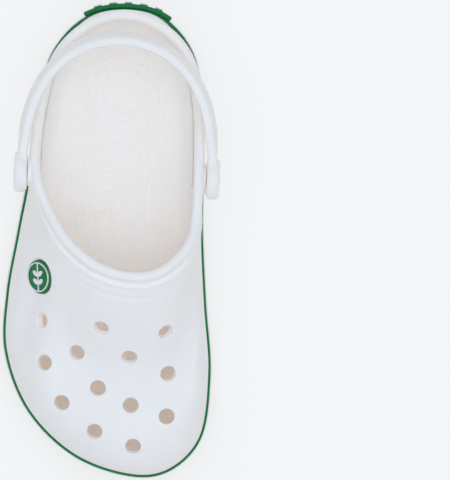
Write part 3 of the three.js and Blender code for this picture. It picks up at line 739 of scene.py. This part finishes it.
def footbed_relief(x, y):
    """Raised pattern of the footbed: a plain round mark at the heel, lines that arch over it and
    run forward on both sides, and short bars down the middle."""
    aside, ahead = x - MARK_CENTRE[0], y - MARK_CENTRE[1]
    from_mark = np.hypot(aside, ahead)
    relief = line_at(from_mark - MARK_RADIUS)
    relief += MARK_FACE * smooth(MARK_RADIUS - from_mark, -0.4, 0.4)
    wave = LINE_WAVE * np.sin(y / LINE_WAVE_TURN)
    sweep = 1 - smooth(y, *LINE_SWEEP)
    behind = smooth(ahead, -1.5, 1.5)
    outer = len(LINE_RADII) - 1
    for number, radius in enumerate(LINE_RADII):
        start = 1 - smooth(y, *OUTER_LINE_END) if number == outer else 1
        fade = smooth(y, LINE_FADE[0] + LINE_FADE_PITCH * number, LINE_FADE[1])
        arch = line_at(from_mark - radius) * behind * (number < outer)
        lateral = line_at(x + wave - (MARK_CENTRE[0] - radius - 3 * sweep))
        front = LINE_FRONT + LINE_FRONT_PITCH * number
        medial = line_at(x + wave - (MARK_CENTRE[0] + radius) * (1 - sweep) - front * sweep)
        relief += LINE_SHARE * (arch + (1 - behind) * start * fade * (lateral + medial))
    for number in range(BARS):
        share = number / (BARS - 1)
        left, right = -2.8 - 7 * share**2, -3.5 + 19 * (1 - share) ** 1.6
        bowed = BAR_TOP - BAR_PITCH * number - BAR_BOW * aside**2
        ends = smooth(x, left - 0.8, left + 0.4) * (1 - smooth(x, right - 0.4, right + 0.8))
        relief += ends * line_at(y - bowed, BAR_WIDTH)
    return RELIEF * relief


def footbed_waves(x, y):
    """Slight unevenness of the pressed foam's face, in bands across its front."""
    bands = smooth(-y, -35, 15) * np.sin(y / 0.9 + 0.02 * x**2 + 0.5 * np.sin(x / 9))
    patches = np.sin(x / 3.1 + 2 * np.sin(y / 17)) * np.sin(y / 2.7 + 2 * np.cos(x / 13))
    return BAND_HEIGHT * bands + PATCH_HEIGHT * patches


def wall_insets(turns, height):
    """Insets from the sole's outline to the upper's inside, where that stands at height(x, y)."""
    skin = Skin(turns, bead_rows)
    inside = skin.face(-half_inside(skin.from_tip))
    outline = closed_curve(SOLE_POINTS, turns)[:, None, :2]
    inward = inset_curve(SOLE_POINTS, turns, 1)[:, None, :2] - outline
    insets = np.sum((inside[..., :2] - outline) * inward, axis=2)
    over = inside[..., 2] - height(inside[..., 0], inside[..., 1])
    rows = np.arange(len(turns))
    row = np.maximum(1, np.argmax(over > 0, axis=1))
    share = over[rows, row - 1] / (over[rows, row - 1] - over[rows, row])
    return insets[rows, row - 1] * (1 - share) + insets[rows, row] * share


def build_footbed(material):
    """White sheet whose edge rises in a cove up the upper's wall."""
    turns = np.arange(FOOTBED_AROUND) / FOOTBED_AROUND

    def top(x, y):
        return footbed_height(x, y) + footbed_relief(x, y) + footbed_waves(x, y)

    wall = wall_insets(turns, above(COVE_RISE, footbed_height)) + COVE_GAP
    rings = [(FOOTBED_INSET, above(STRIPE_BOTTOM))]
    for share in (0.3, 0.6, 0.9):
        height = above(share * COVE_RISE, footbed_height)
        rings.append((wall_insets(turns, height) + COVE_GAP, height))
    for share in np.linspace(0, 1, 18):
        rise = COVE_RISE * (1 - share) ** COVE_CURVE
        inset = wall + COVE_EDGE + share * COVE_WIDTH
        rings.append((inset, above(rise, footbed_height)))
    rings.append((wall + COVE_WIDTH + COVE_LAP, top))
    obj = slab("footbed_sheet", rings, FOOTBED_AROUND, bottom_steps=4, top_steps=200)
    finish_piece(obj, "clog", ["footbed"], material, sharp=60)


# ---- midsole, stripe, outsole


MIDSOLE_ROUND = 1.4
MIDSOLE_STEP = 0.4
STRIPE_ROUND = 0.7
# Heights of the side's two lines in shares of the midsole, and a line's section from its middle.
SIDE_LINES = (0.36, 0.66)
SIDE_LINE = ((-0.9, 0), (-0.55, 0.12), (-0.2, 0.55), (0.2, 0.55), (0.55, 0.12), (0.9, 0))


def build_midsole(material):
    """White foam between the outsole and the stripe, with two fine lines round its side."""
    arc = np.linspace(0, np.pi / 2, 5)
    away, along = 1 - np.sin(arc), 1 - np.cos(arc)
    profile = list(zip(MIDSOLE_ROUND * away, MIDSOLE_BOTTOM + MIDSOLE_ROUND * along))
    for share in SIDE_LINES:
        middle = MIDSOLE_BOTTOM + share * MIDSOLE
        profile += [(depth, middle + height) for height, depth in SIDE_LINE]
    top_round = STRIPE_INSET + MIDSOLE_STEP
    profile += zip(top_round * along, MIDSOLE_TOP - top_round * away)
    rings = [(inset, above(height)) for inset, height in profile]
    obj = slab("midsole_foam", rings, SOLE_AROUND, bottom_steps=12, top_steps=12)
    finish_piece(obj, "clog", ["midsole"], material, sharp=40)


def build_stripe(material):
    """Green line round the sole."""
    section = rounded_section(STRIPE_INSET, INNER_INSET, STRIPE_BOTTOM, STRIPE_TOP, STRIPE_ROUND)
    obj = band("stripe_band", 0, 1, SOLE_AROUND, section)
    finish_piece(obj, "clog", ["midsole_stripe"], material, sharp=40)


TREAD_DEPTH = 2.0
TREAD_GROOVE = 2.6
TREAD_FLARE = 0.3
TREAD_PITCH = 12.0
TREAD_WAVE = 3.0
TREAD_WAVELENGTH = 26.0
ARCH_FROM = -0.05 * LENGTH
ARCH_TO = 0.17 * LENGTH
ARCH_LIFT = 1.5
ARCH_EASE = 3.0
# Insets from the outsole's side and heights over its underside, then depths under its top.
TREAD_EDGE = ((1.0, 0), (0.6, 0.25), (0.2, 0.8), (0, 1.6))
OUTSOLE_TOP_EDGE = ((0, 0.5), (0.4, 0))


def tread_groove(y):
    """Wavy cutter across the sole, its floor a tread's depth above the sole's underside."""
    xs = np.linspace(-WIDTH, WIDTH, 240) * 0.6
    wave = y + TREAD_WAVE * np.sin(2 * np.pi * xs / TREAD_WAVELENGTH)
    half = TREAD_GROOVE / 2
    floor = TREAD_DEPTH + lift(wave)
    mouth, under = half + TREAD_FLARE, -20
    section = [(-mouth, under), (mouth, under), (mouth, 0), (half, None), (-half, None), (-mouth, 0)]
    columns = []
    for along, height in section:
        z = floor if height is None else np.full(len(xs), height) + (lift(wave) if height == 0 else 0)
        columns.append(np.column_stack([xs, wave + along, z]))
    return swept("groove", columns)


def build_outsole(material):
    """Green tread rubber with wavy grooves, and a raised plain arch."""
    def bottom(x, y):
        start = smooth(y, ARCH_FROM - ARCH_EASE, ARCH_FROM + ARCH_EASE)
        end = 1 - smooth(y, ARCH_TO - ARCH_EASE, ARCH_TO + ARCH_EASE)
        return lift(y) + ARCH_LIFT * start * end

    rings = [(OUTSOLE_INSET + inset, above(height, bottom)) for inset, height in TREAD_EDGE]
    rings += [(OUTSOLE_INSET + inset, above(OUTSOLE - down)) for inset, down in OUTSOLE_TOP_EDGE]
    obj = slab("outsole_tread", rings, SOLE_AROUND, bottom_steps=60, top_steps=12)
    count = math.floor(LENGTH / TREAD_PITCH) - 1
    places = [(i - (count - 1) / 2) * TREAD_PITCH for i in range(count)]
    clear = TREAD_WAVE + TREAD_GROOVE
    grooved = [y for y in places if y < ARCH_FROM - clear or y > ARCH_TO + clear]
    combine(obj, [tread_groove(y) for y in grooved], "DIFFERENCE")
    finish_piece(obj, "clog", ["outsole"], material, sharp=30)


# ---- heel label

LABEL_WIDTH = 52.0
LABEL_ASIDE = 2.0
LABEL_BOTTOM = 8.0
LABEL_THICKNESS = 1.8
LABEL_RIBS = 5
LABEL_RIB = 4.4
LABEL_RIB_THICKNESS = 0.9
LABEL_MARGIN = 3.0
LABEL_TOP = STRIPE_TOP - FIT
HEEL_TURN = 0.5
LABEL_EDGE = 0.4
LABEL_RIB_EDGE = 0.28


def heel_plate(name, aside, width, section, edge):
    """Plate round the heel of a section of [inset, height] points, with its middle a distance
    along the outline from the heel's."""
    step = 0.01
    ends = closed_curve(SOLE_POINTS, np.array([HEEL_TURN - step, HEEL_TURN + step]))
    turns_per_length = 2 * step / np.linalg.norm(ends[1] - ends[0])
    middle = HEEL_TURN + aside * turns_per_length
    half = width / 2 * turns_per_length
    obj = band(name, middle - half, middle + half, max(4, round(width)), section)
    soften(obj, edge)
    return obj


def soften(obj, width, segments=4):
    """Rounds a piece's edges."""
    modifier = obj.modifiers.new("soften", "BEVEL")
    modifier.width = width * MM
    modifier.segments = segments
    modifier.angle_limit = math.radians(40)
    apply_modifiers(obj)


def build_label(plate_material, rib_material):
    """Plate on the midsole's face that hooks in over its top to the stripe, with plain ribs."""
    front, hook, step = -FIT - LABEL_THICKNESS, STRIPE_INSET - FIT, STRIPE_BOTTOM + FIT
    section = [
        (front, LABEL_BOTTOM), (front, LABEL_TOP), (hook, LABEL_TOP),
        (hook, step), (-FIT, step), (-FIT, LABEL_BOTTOM),
    ]
    plate = heel_plate("label_plate", LABEL_ASIDE, LABEL_WIDTH, section, LABEL_EDGE)
    finish_piece(plate, "clog", ["heel_label"], plate_material)
    pitch = LABEL_WIDTH / (LABEL_RIBS + 1)
    back, face = front - FIT, front - FIT - LABEL_RIB_THICKNESS
    low, high = LABEL_BOTTOM + LABEL_MARGIN, LABEL_TOP - LABEL_MARGIN
    for number in range(LABEL_RIBS):
        aside = LABEL_ASIDE + (number - (LABEL_RIBS - 1) / 2) * pitch
        section = [(face, low), (face, high), (back, high), (back, low)]
        rib = heel_plate(f"label_rib_{number + 1}", aside, LABEL_RIB, section, LABEL_RIB_EDGE)
        finish_piece(rib, "clog", [f"heel_label_rib_{number + 1}"], rib_material)


# ---- badge

BADGE_SIDES = 128
BADGE_FILLET = 0.8
EMBLEM_THICKNESS = 0.5
EMBLEM_RING = 8.8
EMBLEM_LINE = 0.7
EMBLEM_EDGE = 0.14
LEAF_LENGTH = 4.6
LEAF_WIDTH = 2.6
LEAF_OUT = 1.9
LEAF_HEIGHTS = (-2.7, 2.1)
LEAF_TURN = math.radians(50)


def extruded(name, outline, matrix, low, high):
    """Closed solid of a flat outline between two heights."""
    return swept(name, [[(*point, low), (*point, high)] for point in outline], matrix)


def ellipse(length, width, turn, centre):
    """Points of an ellipse turned about its centre."""
    u, v = (circle_of(40) * (length / 2, width / 2)).T
    c, s = math.cos(turn), math.sin(turn)
    return np.column_stack([centre[0] + c * u - s * v, centre[1] + s * u + c * v])


def build_badge(disc_material, emblem_material):
    """Green disc with a plain ring and a leaf sprig standing on it."""
    base = Vector(BADGE_MIDDLE - BADGE_NORMAL * BADGE_THICKNESS / 2)
    turn = Vector((0, 0, 1)).rotation_difference(Vector(BADGE_NORMAL)).to_matrix().to_4x4()
    matrix = Matrix.Translation(base) @ turn
    profile = rounded(BADGE_DIAMETER / 2, 0, BADGE_THICKNESS, BADGE_FILLET)
    disc = turned("badge_face", profile, matrix, BADGE_SIDES)
    finish_piece(disc, "clog", ["badge_disc"], disc_material, sharp=40)
    low = BADGE_THICKNESS + FIT
    high = low + EMBLEM_THICKNESS
    bore = bore_profile(EMBLEM_RING - EMBLEM_LINE, low - 1, high + 1)
    emblem = turned("badge_sprig", bore_profile(EMBLEM_RING, low, high), matrix)
    combine(emblem, [turned("bore", bore, matrix)], "DIFFERENCE")
    half, tip = EMBLEM_LINE / 2, EMBLEM_RING - EMBLEM_LINE / 2
    stem = np.array([(-half, -tip), (half, -tip), (half, tip), (-half, tip)])
    parts = [extruded("stem", stem, matrix, low, high)]
    for height in LEAF_HEIGHTS:
        for sign in (-1, 1):
            turn = math.pi / 2 - sign * LEAF_TURN
            leaf = ellipse(LEAF_LENGTH, LEAF_WIDTH, turn, (sign * LEAF_OUT, height))
            parts.append(extruded("leaf", leaf, matrix, low, high))
    combine(emblem, parts, "UNION")
    soften(emblem, EMBLEM_EDGE, 3)
    finish_piece(emblem, "clog", ["badge_emblem"], emblem_material)


# ---- strap and rivets

STRAP_STEPS = 260
STRAP_EDGE = 1.9
STRAP_VOXEL = 0.45
STRAP_BLUR = 14
PAD_FILLET = 2.6
SEAT_LIP = 0.5
# How far behind the pivot the band ends, and how far its middle lies there along the tilt.
STRAP_END = STRAP_REAR_Y - PIVOT_MIDDLE[1] - STRAP_REAR / 2 * math.sin(STRAP_TILT)
STRAP_REACH = STRAP_END / math.cos(STRAP_TILT) - STRAP_THICKNESS / 2


def strap_band():
    """The strap's band: a rounded section along a flattened arch from one pad to the other."""
    angle = np.linspace(0, np.pi, STRAP_STEPS + 1)
    half_span = (PAD_INNER + PAD_OUTER) / 2 - STRAP_ARM_IN

    def path(a):
        return np.column_stack([
            -np.cos(a) * half_span,
            np.abs(np.sin(a)) ** (2 / STRAP_ROUNDNESS) * STRAP_REACH,
        ])

    middle = path(angle)
    along = path(np.minimum(angle + 1e-3, np.pi)) - path(np.maximum(angle - 1e-3, 0))
    along /= np.linalg.norm(along, axis=1)[:, None]
    high = (STRAP_ARM + (STRAP_REAR - STRAP_ARM) * np.sin(angle) ** 2) / 2
    thick = STRAP_THICKNESS / 2
    lean = STRAP_LEAN * smooth(np.sin(angle), *STRAP_LEAN_FROM)
    corner = np.linspace(0, np.pi / 2, 7)
    columns = []
    for quarter in range(4):
        for a in corner + quarter * np.pi / 2:
            side_out = 1 if quarter in (0, 3) else -1
            side_up = 1 if quarter in (0, 1) else -1
            up = side_up * (high - STRAP_EDGE) + STRAP_EDGE * math.sin(a)
            out = side_out * (thick - STRAP_EDGE) + STRAP_EDGE * math.cos(a) - lean * up
            aside = middle[:, 0] - along[:, 1] * out
            ahead = middle[:, 1] + along[:, 0] * out
            columns.append(np.column_stack([aside, ahead, up]))
    return swept("strap_loop", columns, PIVOT_FRAME @ Matrix.Rotation(STRAP_TILT, 4, "X"))


def build_strap(material):
    """Foam strap moulded in one with its two round pads."""
    strap = strap_band()
    pads = [
        turned("pad", rounded(STRAP_PAD / 2, PAD_INNER, PAD_OUTER, PAD_FILLET), matrix)
        for matrix in SIDE_FRAMES.values()
    ]
    combine(strap, pads, "UNION")
    remesh = strap.modifiers.new("moulded", "REMESH")
    remesh.mode = "VOXEL"
    remesh.voxel_size = STRAP_VOXEL * MM
    blur = strap.modifiers.new("blended", "SMOOTH")
    blur.iterations = STRAP_BLUR
    apply_modifiers(strap)
    bore, seat = PIVOT_BORE / 2, RIVET_HEAD / 2 + FIT
    low, end = PAD_OUTER - STRAP_RECESS, PAD_OUTER + CUT
    mouth, near = seat + SEAT_LIP, 0.3 * SEAT_LIP
    hole = [(0, 0), (bore, 0), (bore, low), (seat, low), (seat, PAD_OUTER - SEAT_LIP)]
    hole += [(seat + near, PAD_OUTER - near), (mouth, PAD_OUTER), (mouth, end), (0, end)]
    holes = [turned("hole", hole, matrix) for matrix in SIDE_FRAMES.values()]
    combine(strap, holes, "DIFFERENCE")
    finish_piece(strap, "strap", ["heel_strap"], material, sharp=50)


RIVET_FILLET = 0.6
# Shares of the head's radius: the dome's two ends, and the dimple.
RIVET_DOME = (0.97, 0.36)
RIVET_DIMPLE = 0.3
DIMPLE_EDGE = ((0.3, 0.12), (0, 0.45))
DIMPLE_DEPTH = 0.55
RIVET_TIP = 0.7
BASE_OUTER = BOSS_REACH - BOSS_DEPTH - FIT
BASE_INNER = BASE_OUTER - RIVET_BASE_THICKNESS
SNAP_START = BASE_INNER - FIT


def build_rivet(side, matrix, material):
    """Snap rivet: a low domed head with a dimple and its stem, and the base inside the upper."""
    face = PAD_OUTER - STRAP_RECESS + FIT
    head, stem, snap = RIVET_HEAD / 2, RIVET_STEM / 2, RIVET_SNAP / 2
    tip = SNAP_START - RIVET_SNAP_LENGTH
    profile = [
        (0, tip), (RIVET_TIP * stem, tip), (snap, (tip + SNAP_START) / 2), (snap, SNAP_START),
        (stem, SNAP_START), (stem, face), (head - RIVET_RIM / 2, face), (head, face + RIVET_RIM / 2),
        (head, face + RIVET_RIM),
    ]
    top = face + RIVET_HEAD_THICKNESS
    for share in np.linspace(*RIVET_DOME, 12):
        dome = (RIVET_HEAD_THICKNESS - RIVET_RIM) * math.sqrt(1 - share**2)
        profile.append((share * head, face + RIVET_RIM + dome))
    dimple = RIVET_DIMPLE * head
    profile += [(dimple + out, top - down) for out, down in DIMPLE_EDGE]
    profile.append((0, top - DIMPLE_DEPTH))
    obj = turned(f"rivet_button_{side}", profile, matrix)
    finish_piece(obj, "clog", [f"rivet_head_{side}"], material, sharp=30)
    washer = rounded(RIVET_BASE / 2, BASE_INNER, BASE_OUTER, RIVET_FILLET)
    base = turned(f"rivet_washer_{side}", washer, matrix)
    hole = bore_profile(PIVOT_BORE / 2, BASE_INNER - 1, BASE_OUTER + 1)
    combine(base, [turned("hole", hole, matrix, BORE_SIDES)], "DIFFERENCE")
    finish_piece(base, "clog", [f"rivet_base_{side}"], material, sharp=30)


# ---- materials


class Nodes:
    """A node material under construction, with object coordinates in metres."""

    def __init__(self, name):
        self.material = bpy.data.materials.new(name)
        self.material.use_nodes = True
        self.tree = self.material.node_tree
        self.shader = self.tree.nodes["Principled BSDF"]
        self.place = self.add("ShaderNodeTexCoord").outputs["Object"]

    def add(self, kind, **inputs):
        node = self.tree.nodes.new(kind)
        for name, value in inputs.items():
            self.put(node.inputs[name], value)
        return node

    def put(self, socket, value):
        if isinstance(value, bpy.types.NodeSocket):
            self.tree.links.new(value, socket)
        else:
            socket.default_value = value

    def noise(self, size, detail=3.0, roughness=0.5, distortion=0.0):
        """Noise with features of a size in millimetres, from 0 to 1."""
        settings = {"Detail": detail, "Roughness": roughness, "Distortion": distortion}
        place, scale = self.place, 1 / (size * MM)
        return self.add("ShaderNodeTexNoise", Vector=place, Scale=scale, **settings).outputs["Fac"]

    def cells(self, size):
        """Distance from the middles of cells of a size in millimetres."""
        node = self.add("ShaderNodeTexVoronoi", Vector=self.place, Scale=1 / (size * MM))
        return node.outputs["Distance"]

    def remap(self, value, low, high, to_low, to_high):
        limits = {"From Min": low, "From Max": high, "To Min": to_low, "To Max": to_high}
        return self.add("ShaderNodeMapRange", Value=value, **limits).outputs["Result"]

    def mix(self, share, first, second):
        node = self.add("ShaderNodeMix")
        node.data_type = "RGBA"
        colours = [s for s in node.inputs if s.type == "RGBA"]
        self.put(node.inputs["Factor"], share)
        for socket, colour in zip(colours, (first, second)):
            self.put(socket, colour)
        return next(s for s in node.outputs if s.type == "RGBA")

    def bump(self, height, distance, strength=1.0, normal=None):
        node = self.add("ShaderNodeBump", Height=height, Distance=distance * MM, Strength=strength)
        if normal is not None:
            self.put(node.inputs["Normal"], normal)
        return node.outputs["Normal"]

    def finish(self, settings):
        """Sets the shader's sockets and gives the material."""
        for name, value in settings.items():
            self.put(self.shader.inputs[name], value)
        return self.material


def srgb(red, green, blue):
    """Linear colour of an 8-bit sRGB one."""
    def linear(value):
        share = value / 255
        return share / 12.92 if share <= 0.04045 else ((share + 0.055) / 1.055) ** 2.4
    return (*(linear(v) for v in (red, green, blue)), 1.0)


def foam(name, light, dark, scuff, roughness, pore, skin_depth=0.0, soft=0.0):
    """Moulded closed-cell foam: cloudy colour, faint scuffs, and a fine skin with pores of a
    size in millimetres. soft is how much light goes under the skin."""
    nodes = Nodes(name)
    cloudy = nodes.remap(nodes.noise(22, 4.0, 0.6), 0.35, 0.65, 0, 1)
    colour = nodes.mix(cloudy, dark, light)
    speckle = nodes.remap(nodes.noise(1.4, 2.0, 0.7), 0.62, 0.8, 0, 0.35)
    colour = nodes.mix(speckle, colour, dark)
    scuffs = nodes.remap(nodes.noise(9, 8.0, 0.72, 1.5), 0.62, 0.78, 0, 0.5)
    colour = nodes.mix(scuffs, colour, scuff)
    rough = nodes.remap(nodes.noise(6, 5.0, 0.6), 0.3, 0.7, roughness - 0.07, roughness + 0.07)
    orange_peel = nodes.bump(nodes.noise(3.2, 2.0), 0.03 + skin_depth)
    pores = nodes.bump(nodes.cells(pore), 0.035, 0.6, orange_peel)
    grain = nodes.bump(nodes.noise(0.35, 2.0, 0.6), 0.03, 0.5, pores)
    return nodes.finish({
        "Base Color": colour,
        "Roughness": rough,
        "Normal": grain,
        "IOR": 1.45,
        "Specular IOR Level": 0.35,
        "Subsurface Weight": soft,
        "Subsurface Radius": (1.0, 0.72, 0.55),
        "Subsurface Scale": 3.0 * MM,
    })


def gloss(name, light, dark, roughness, coat=0.0):
    """Smooth moulded plastic with faint flow marks and fine scratches."""
    nodes = Nodes(name)
    flow = nodes.remap(nodes.noise(7, 3.0, 0.5, 2.0), 0.35, 0.65, 0, 1)
    return nodes.finish({
        "Base Color": nodes.mix(flow, dark, light),
        "Roughness": nodes.remap(
            nodes.noise(1.6, 6.0, 0.7), 0.3, 0.7, roughness - 0.06, roughness + 0.1,
        ),
        "Normal": nodes.bump(nodes.noise(0.8, 4.0, 0.6), 0.02, 0.5),
        "Coat Weight": coat,
        "Coat Roughness": 0.12,
    })


LIGHT_WHITE, DARK_WHITE, SOFT = srgb(254, 250, 245), srgb(252, 247, 242), 0.35
WHITE = foam(
    "white_foam", LIGHT_WHITE, DARK_WHITE, srgb(243, 238, 232), 0.5, 0.9, soft=SOFT,
)
FOOTBED_WHITE = foam(
    "footbed_foam", LIGHT_WHITE, DARK_WHITE, srgb(244, 239, 233), 0.62, 0.7, 0.02, soft=SOFT,
)
GREEN = foam("green_foam", srgb(10, 126, 66), srgb(6, 114, 58), srgb(46, 136, 84), 0.5, 0.8)
TREAD = foam("tread_rubber", srgb(14, 98, 54), srgb(9, 84, 46), srgb(56, 112, 76), 0.68, 0.6, 0.02)
PALE = foam("pale_print", srgb(222, 226, 218), srgb(212, 217, 208), srgb(190, 198, 186), 0.5, 0.8)
BADGE_GREEN = gloss("badge_green", srgb(2, 128, 56), srgb(0, 116, 50), 0.36, 0.1)
BADGE_WHITE = gloss("badge_white", srgb(242, 242, 243), srgb(234, 235, 236), 0.38, 0.15)
RIVET_WHITE = gloss("rivet_white", srgb(252, 249, 245), srgb(246, 243, 239), 0.4, 0.05)

# ---- the clog

build_upper(WHITE)
build_footbed(FOOTBED_WHITE)
build_midsole(WHITE)
build_stripe(GREEN)
build_outsole(TREAD)
build_label(GREEN, PALE)
build_badge(BADGE_GREEN, BADGE_WHITE)
build_strap(WHITE)
for rivet_side, rivet_frame in SIDE_FRAMES.items():
    build_rivet(rivet_side, rivet_frame, RIVET_WHITE)

# ---- floor, light, camera

FLOOR_SIZE = 40.0
FLOOR_DROP = 0.0002
FLOOR_GLOW = 0.75
FLOOR_GREY = 0.26
DOME_EDGE = 0.22
DOME_TOP = 1.02
DAYLIGHT = (0.86, 0.93, 1.03)
BACKDROP = srgb(247, 247, 247)
SOFTBOX_PLACE, SOFTBOX_TARGET = Vector((0.1, -0.1, 1.8)), Vector((0, 0, 0.03))
SOFTBOX_SIZE, SOFTBOX_POWER = 1.6, 6.2
# Metres: the picture's long side spans CAMERA_SEEN at CAMERA_LEVEL, its middle CAMERA_ASIDE.
CAMERA_HEIGHT = 3.0
CAMERA_LEVEL = 0.04
CAMERA_SEEN = 0.2846
CAMERA_ASIDE = 0.0676


def join(tree, *pairs):
    """Links pairs of an output and an input."""
    for out, into in pairs:
        tree.links.new(out, into)


def build_floor():
    """Plain pale floor that glows a little, so that its shadows stay soft. Seen from below it
    lets the sole show."""
    mesh = bpy.data.meshes.new("floor")
    half = FLOOR_SIZE / 2
    level = CAD_BOX[0].z - FLOOR_DROP
    corners = [(-half, -half, level), (half, -half, level), (half, half, level), (-half, half, level)]
    mesh.from_pydata(corners, [], [(0, 1, 2, 3)])
    floor = linked("floor", mesh)
    material = bpy.data.materials.new("floor")
    material.use_nodes = True
    tree = material.node_tree
    tree.nodes.clear()
    new = tree.nodes.new
    glow = new("ShaderNodeEmission")
    glow.inputs["Color"].default_value = BACKDROP
    glow.inputs["Strength"].default_value = FLOOR_GLOW
    matte = new("ShaderNodeBsdfDiffuse")
    matte.inputs["Color"].default_value = (FLOOR_GREY, FLOOR_GREY, FLOOR_GREY, 1)
    both = new("ShaderNodeAddShader")
    clear = new("ShaderNodeBsdfTransparent")
    below = new("ShaderNodeNewGeometry")
    switch = new("ShaderNodeMixShader")
    output = new("ShaderNodeOutputMaterial")
    join(
        tree,
        (glow.outputs[0], both.inputs[0]),
        (matte.outputs[0], both.inputs[1]),
        (below.outputs["Backfacing"], switch.inputs[0]),
        (both.outputs[0], switch.inputs[1]),
        (clear.outputs[0], switch.inputs[2]),
        (switch.outputs[0], output.inputs["Surface"]),
    )
    mesh.materials.append(material)


def build_softbox():
    """Round light above, turned to the clog."""
    light = bpy.data.lights.new("softbox", "AREA")
    light.shape = "DISK"
    light.size = SOFTBOX_SIZE
    light.energy = SOFTBOX_POWER
    light.color = DAYLIGHT
    obj = linked("softbox", light)
    obj.location = SOFTBOX_PLACE
    aim = SOFTBOX_TARGET - SOFTBOX_PLACE
    obj.rotation_euler = aim.to_track_quat("-Z", "Y").to_euler()


def build_world():
    """Plain backdrop for the camera, lit by a dome that is brighter above."""
    world = bpy.data.worlds.new("studio")
    world.use_nodes = True
    tree = world.node_tree
    new = tree.nodes.new
    seen = tree.nodes["Background"]
    seen.inputs["Color"].default_value = BACKDROP
    light = new("ShaderNodeBackground")
    light.inputs["Color"].default_value = (*DAYLIGHT, 1)
    path = new("ShaderNodeLightPath")
    switch = new("ShaderNodeMixShader")
    place = new("ShaderNodeTexCoord")
    axes = new("ShaderNodeSeparateXYZ")
    brighter_above = new("ShaderNodeMapRange")
    brighter_above.inputs["To Min"].default_value = DOME_EDGE
    brighter_above.inputs["To Max"].default_value = DOME_TOP
    join(
        tree,
        (place.outputs["Generated"], axes.inputs[0]),
        (axes.outputs["Z"], brighter_above.inputs["Value"]),
        (brighter_above.outputs[0], light.inputs["Strength"]),
        (path.outputs["Is Camera Ray"], switch.inputs[0]),
        (light.outputs[0], switch.inputs[1]),
        (seen.outputs[0], switch.inputs[2]),
        (switch.outputs[0], tree.nodes["World Output"].inputs["Surface"]),
    )
    SCENE.world = world


def build_camera():
    """Looks straight down on the clog from high above, with the clog left of the middle."""
    above_level = CAMERA_HEIGHT - CAMERA_LEVEL
    camera = bpy.data.cameras.new("camera")
    camera.sensor_width = 36
    camera.lens = camera.sensor_width * above_level / CAMERA_SEEN
    camera.clip_end = 100
    obj = linked("camera", camera)
    obj.location = (0, 0, CAMERA_HEIGHT)
    obj.rotation_euler = (0, -math.atan2(CAMERA_ASIDE, above_level), 0)
    SCENE.camera = obj


build_floor()
build_softbox()
build_world()
build_camera()
SCENE.view_settings.view_transform = "Standard"
# Light has to reach deep into the white toe box.
SCENE.cycles.diffuse_bounces = 20
SCENE.cycles.max_bounces = 24
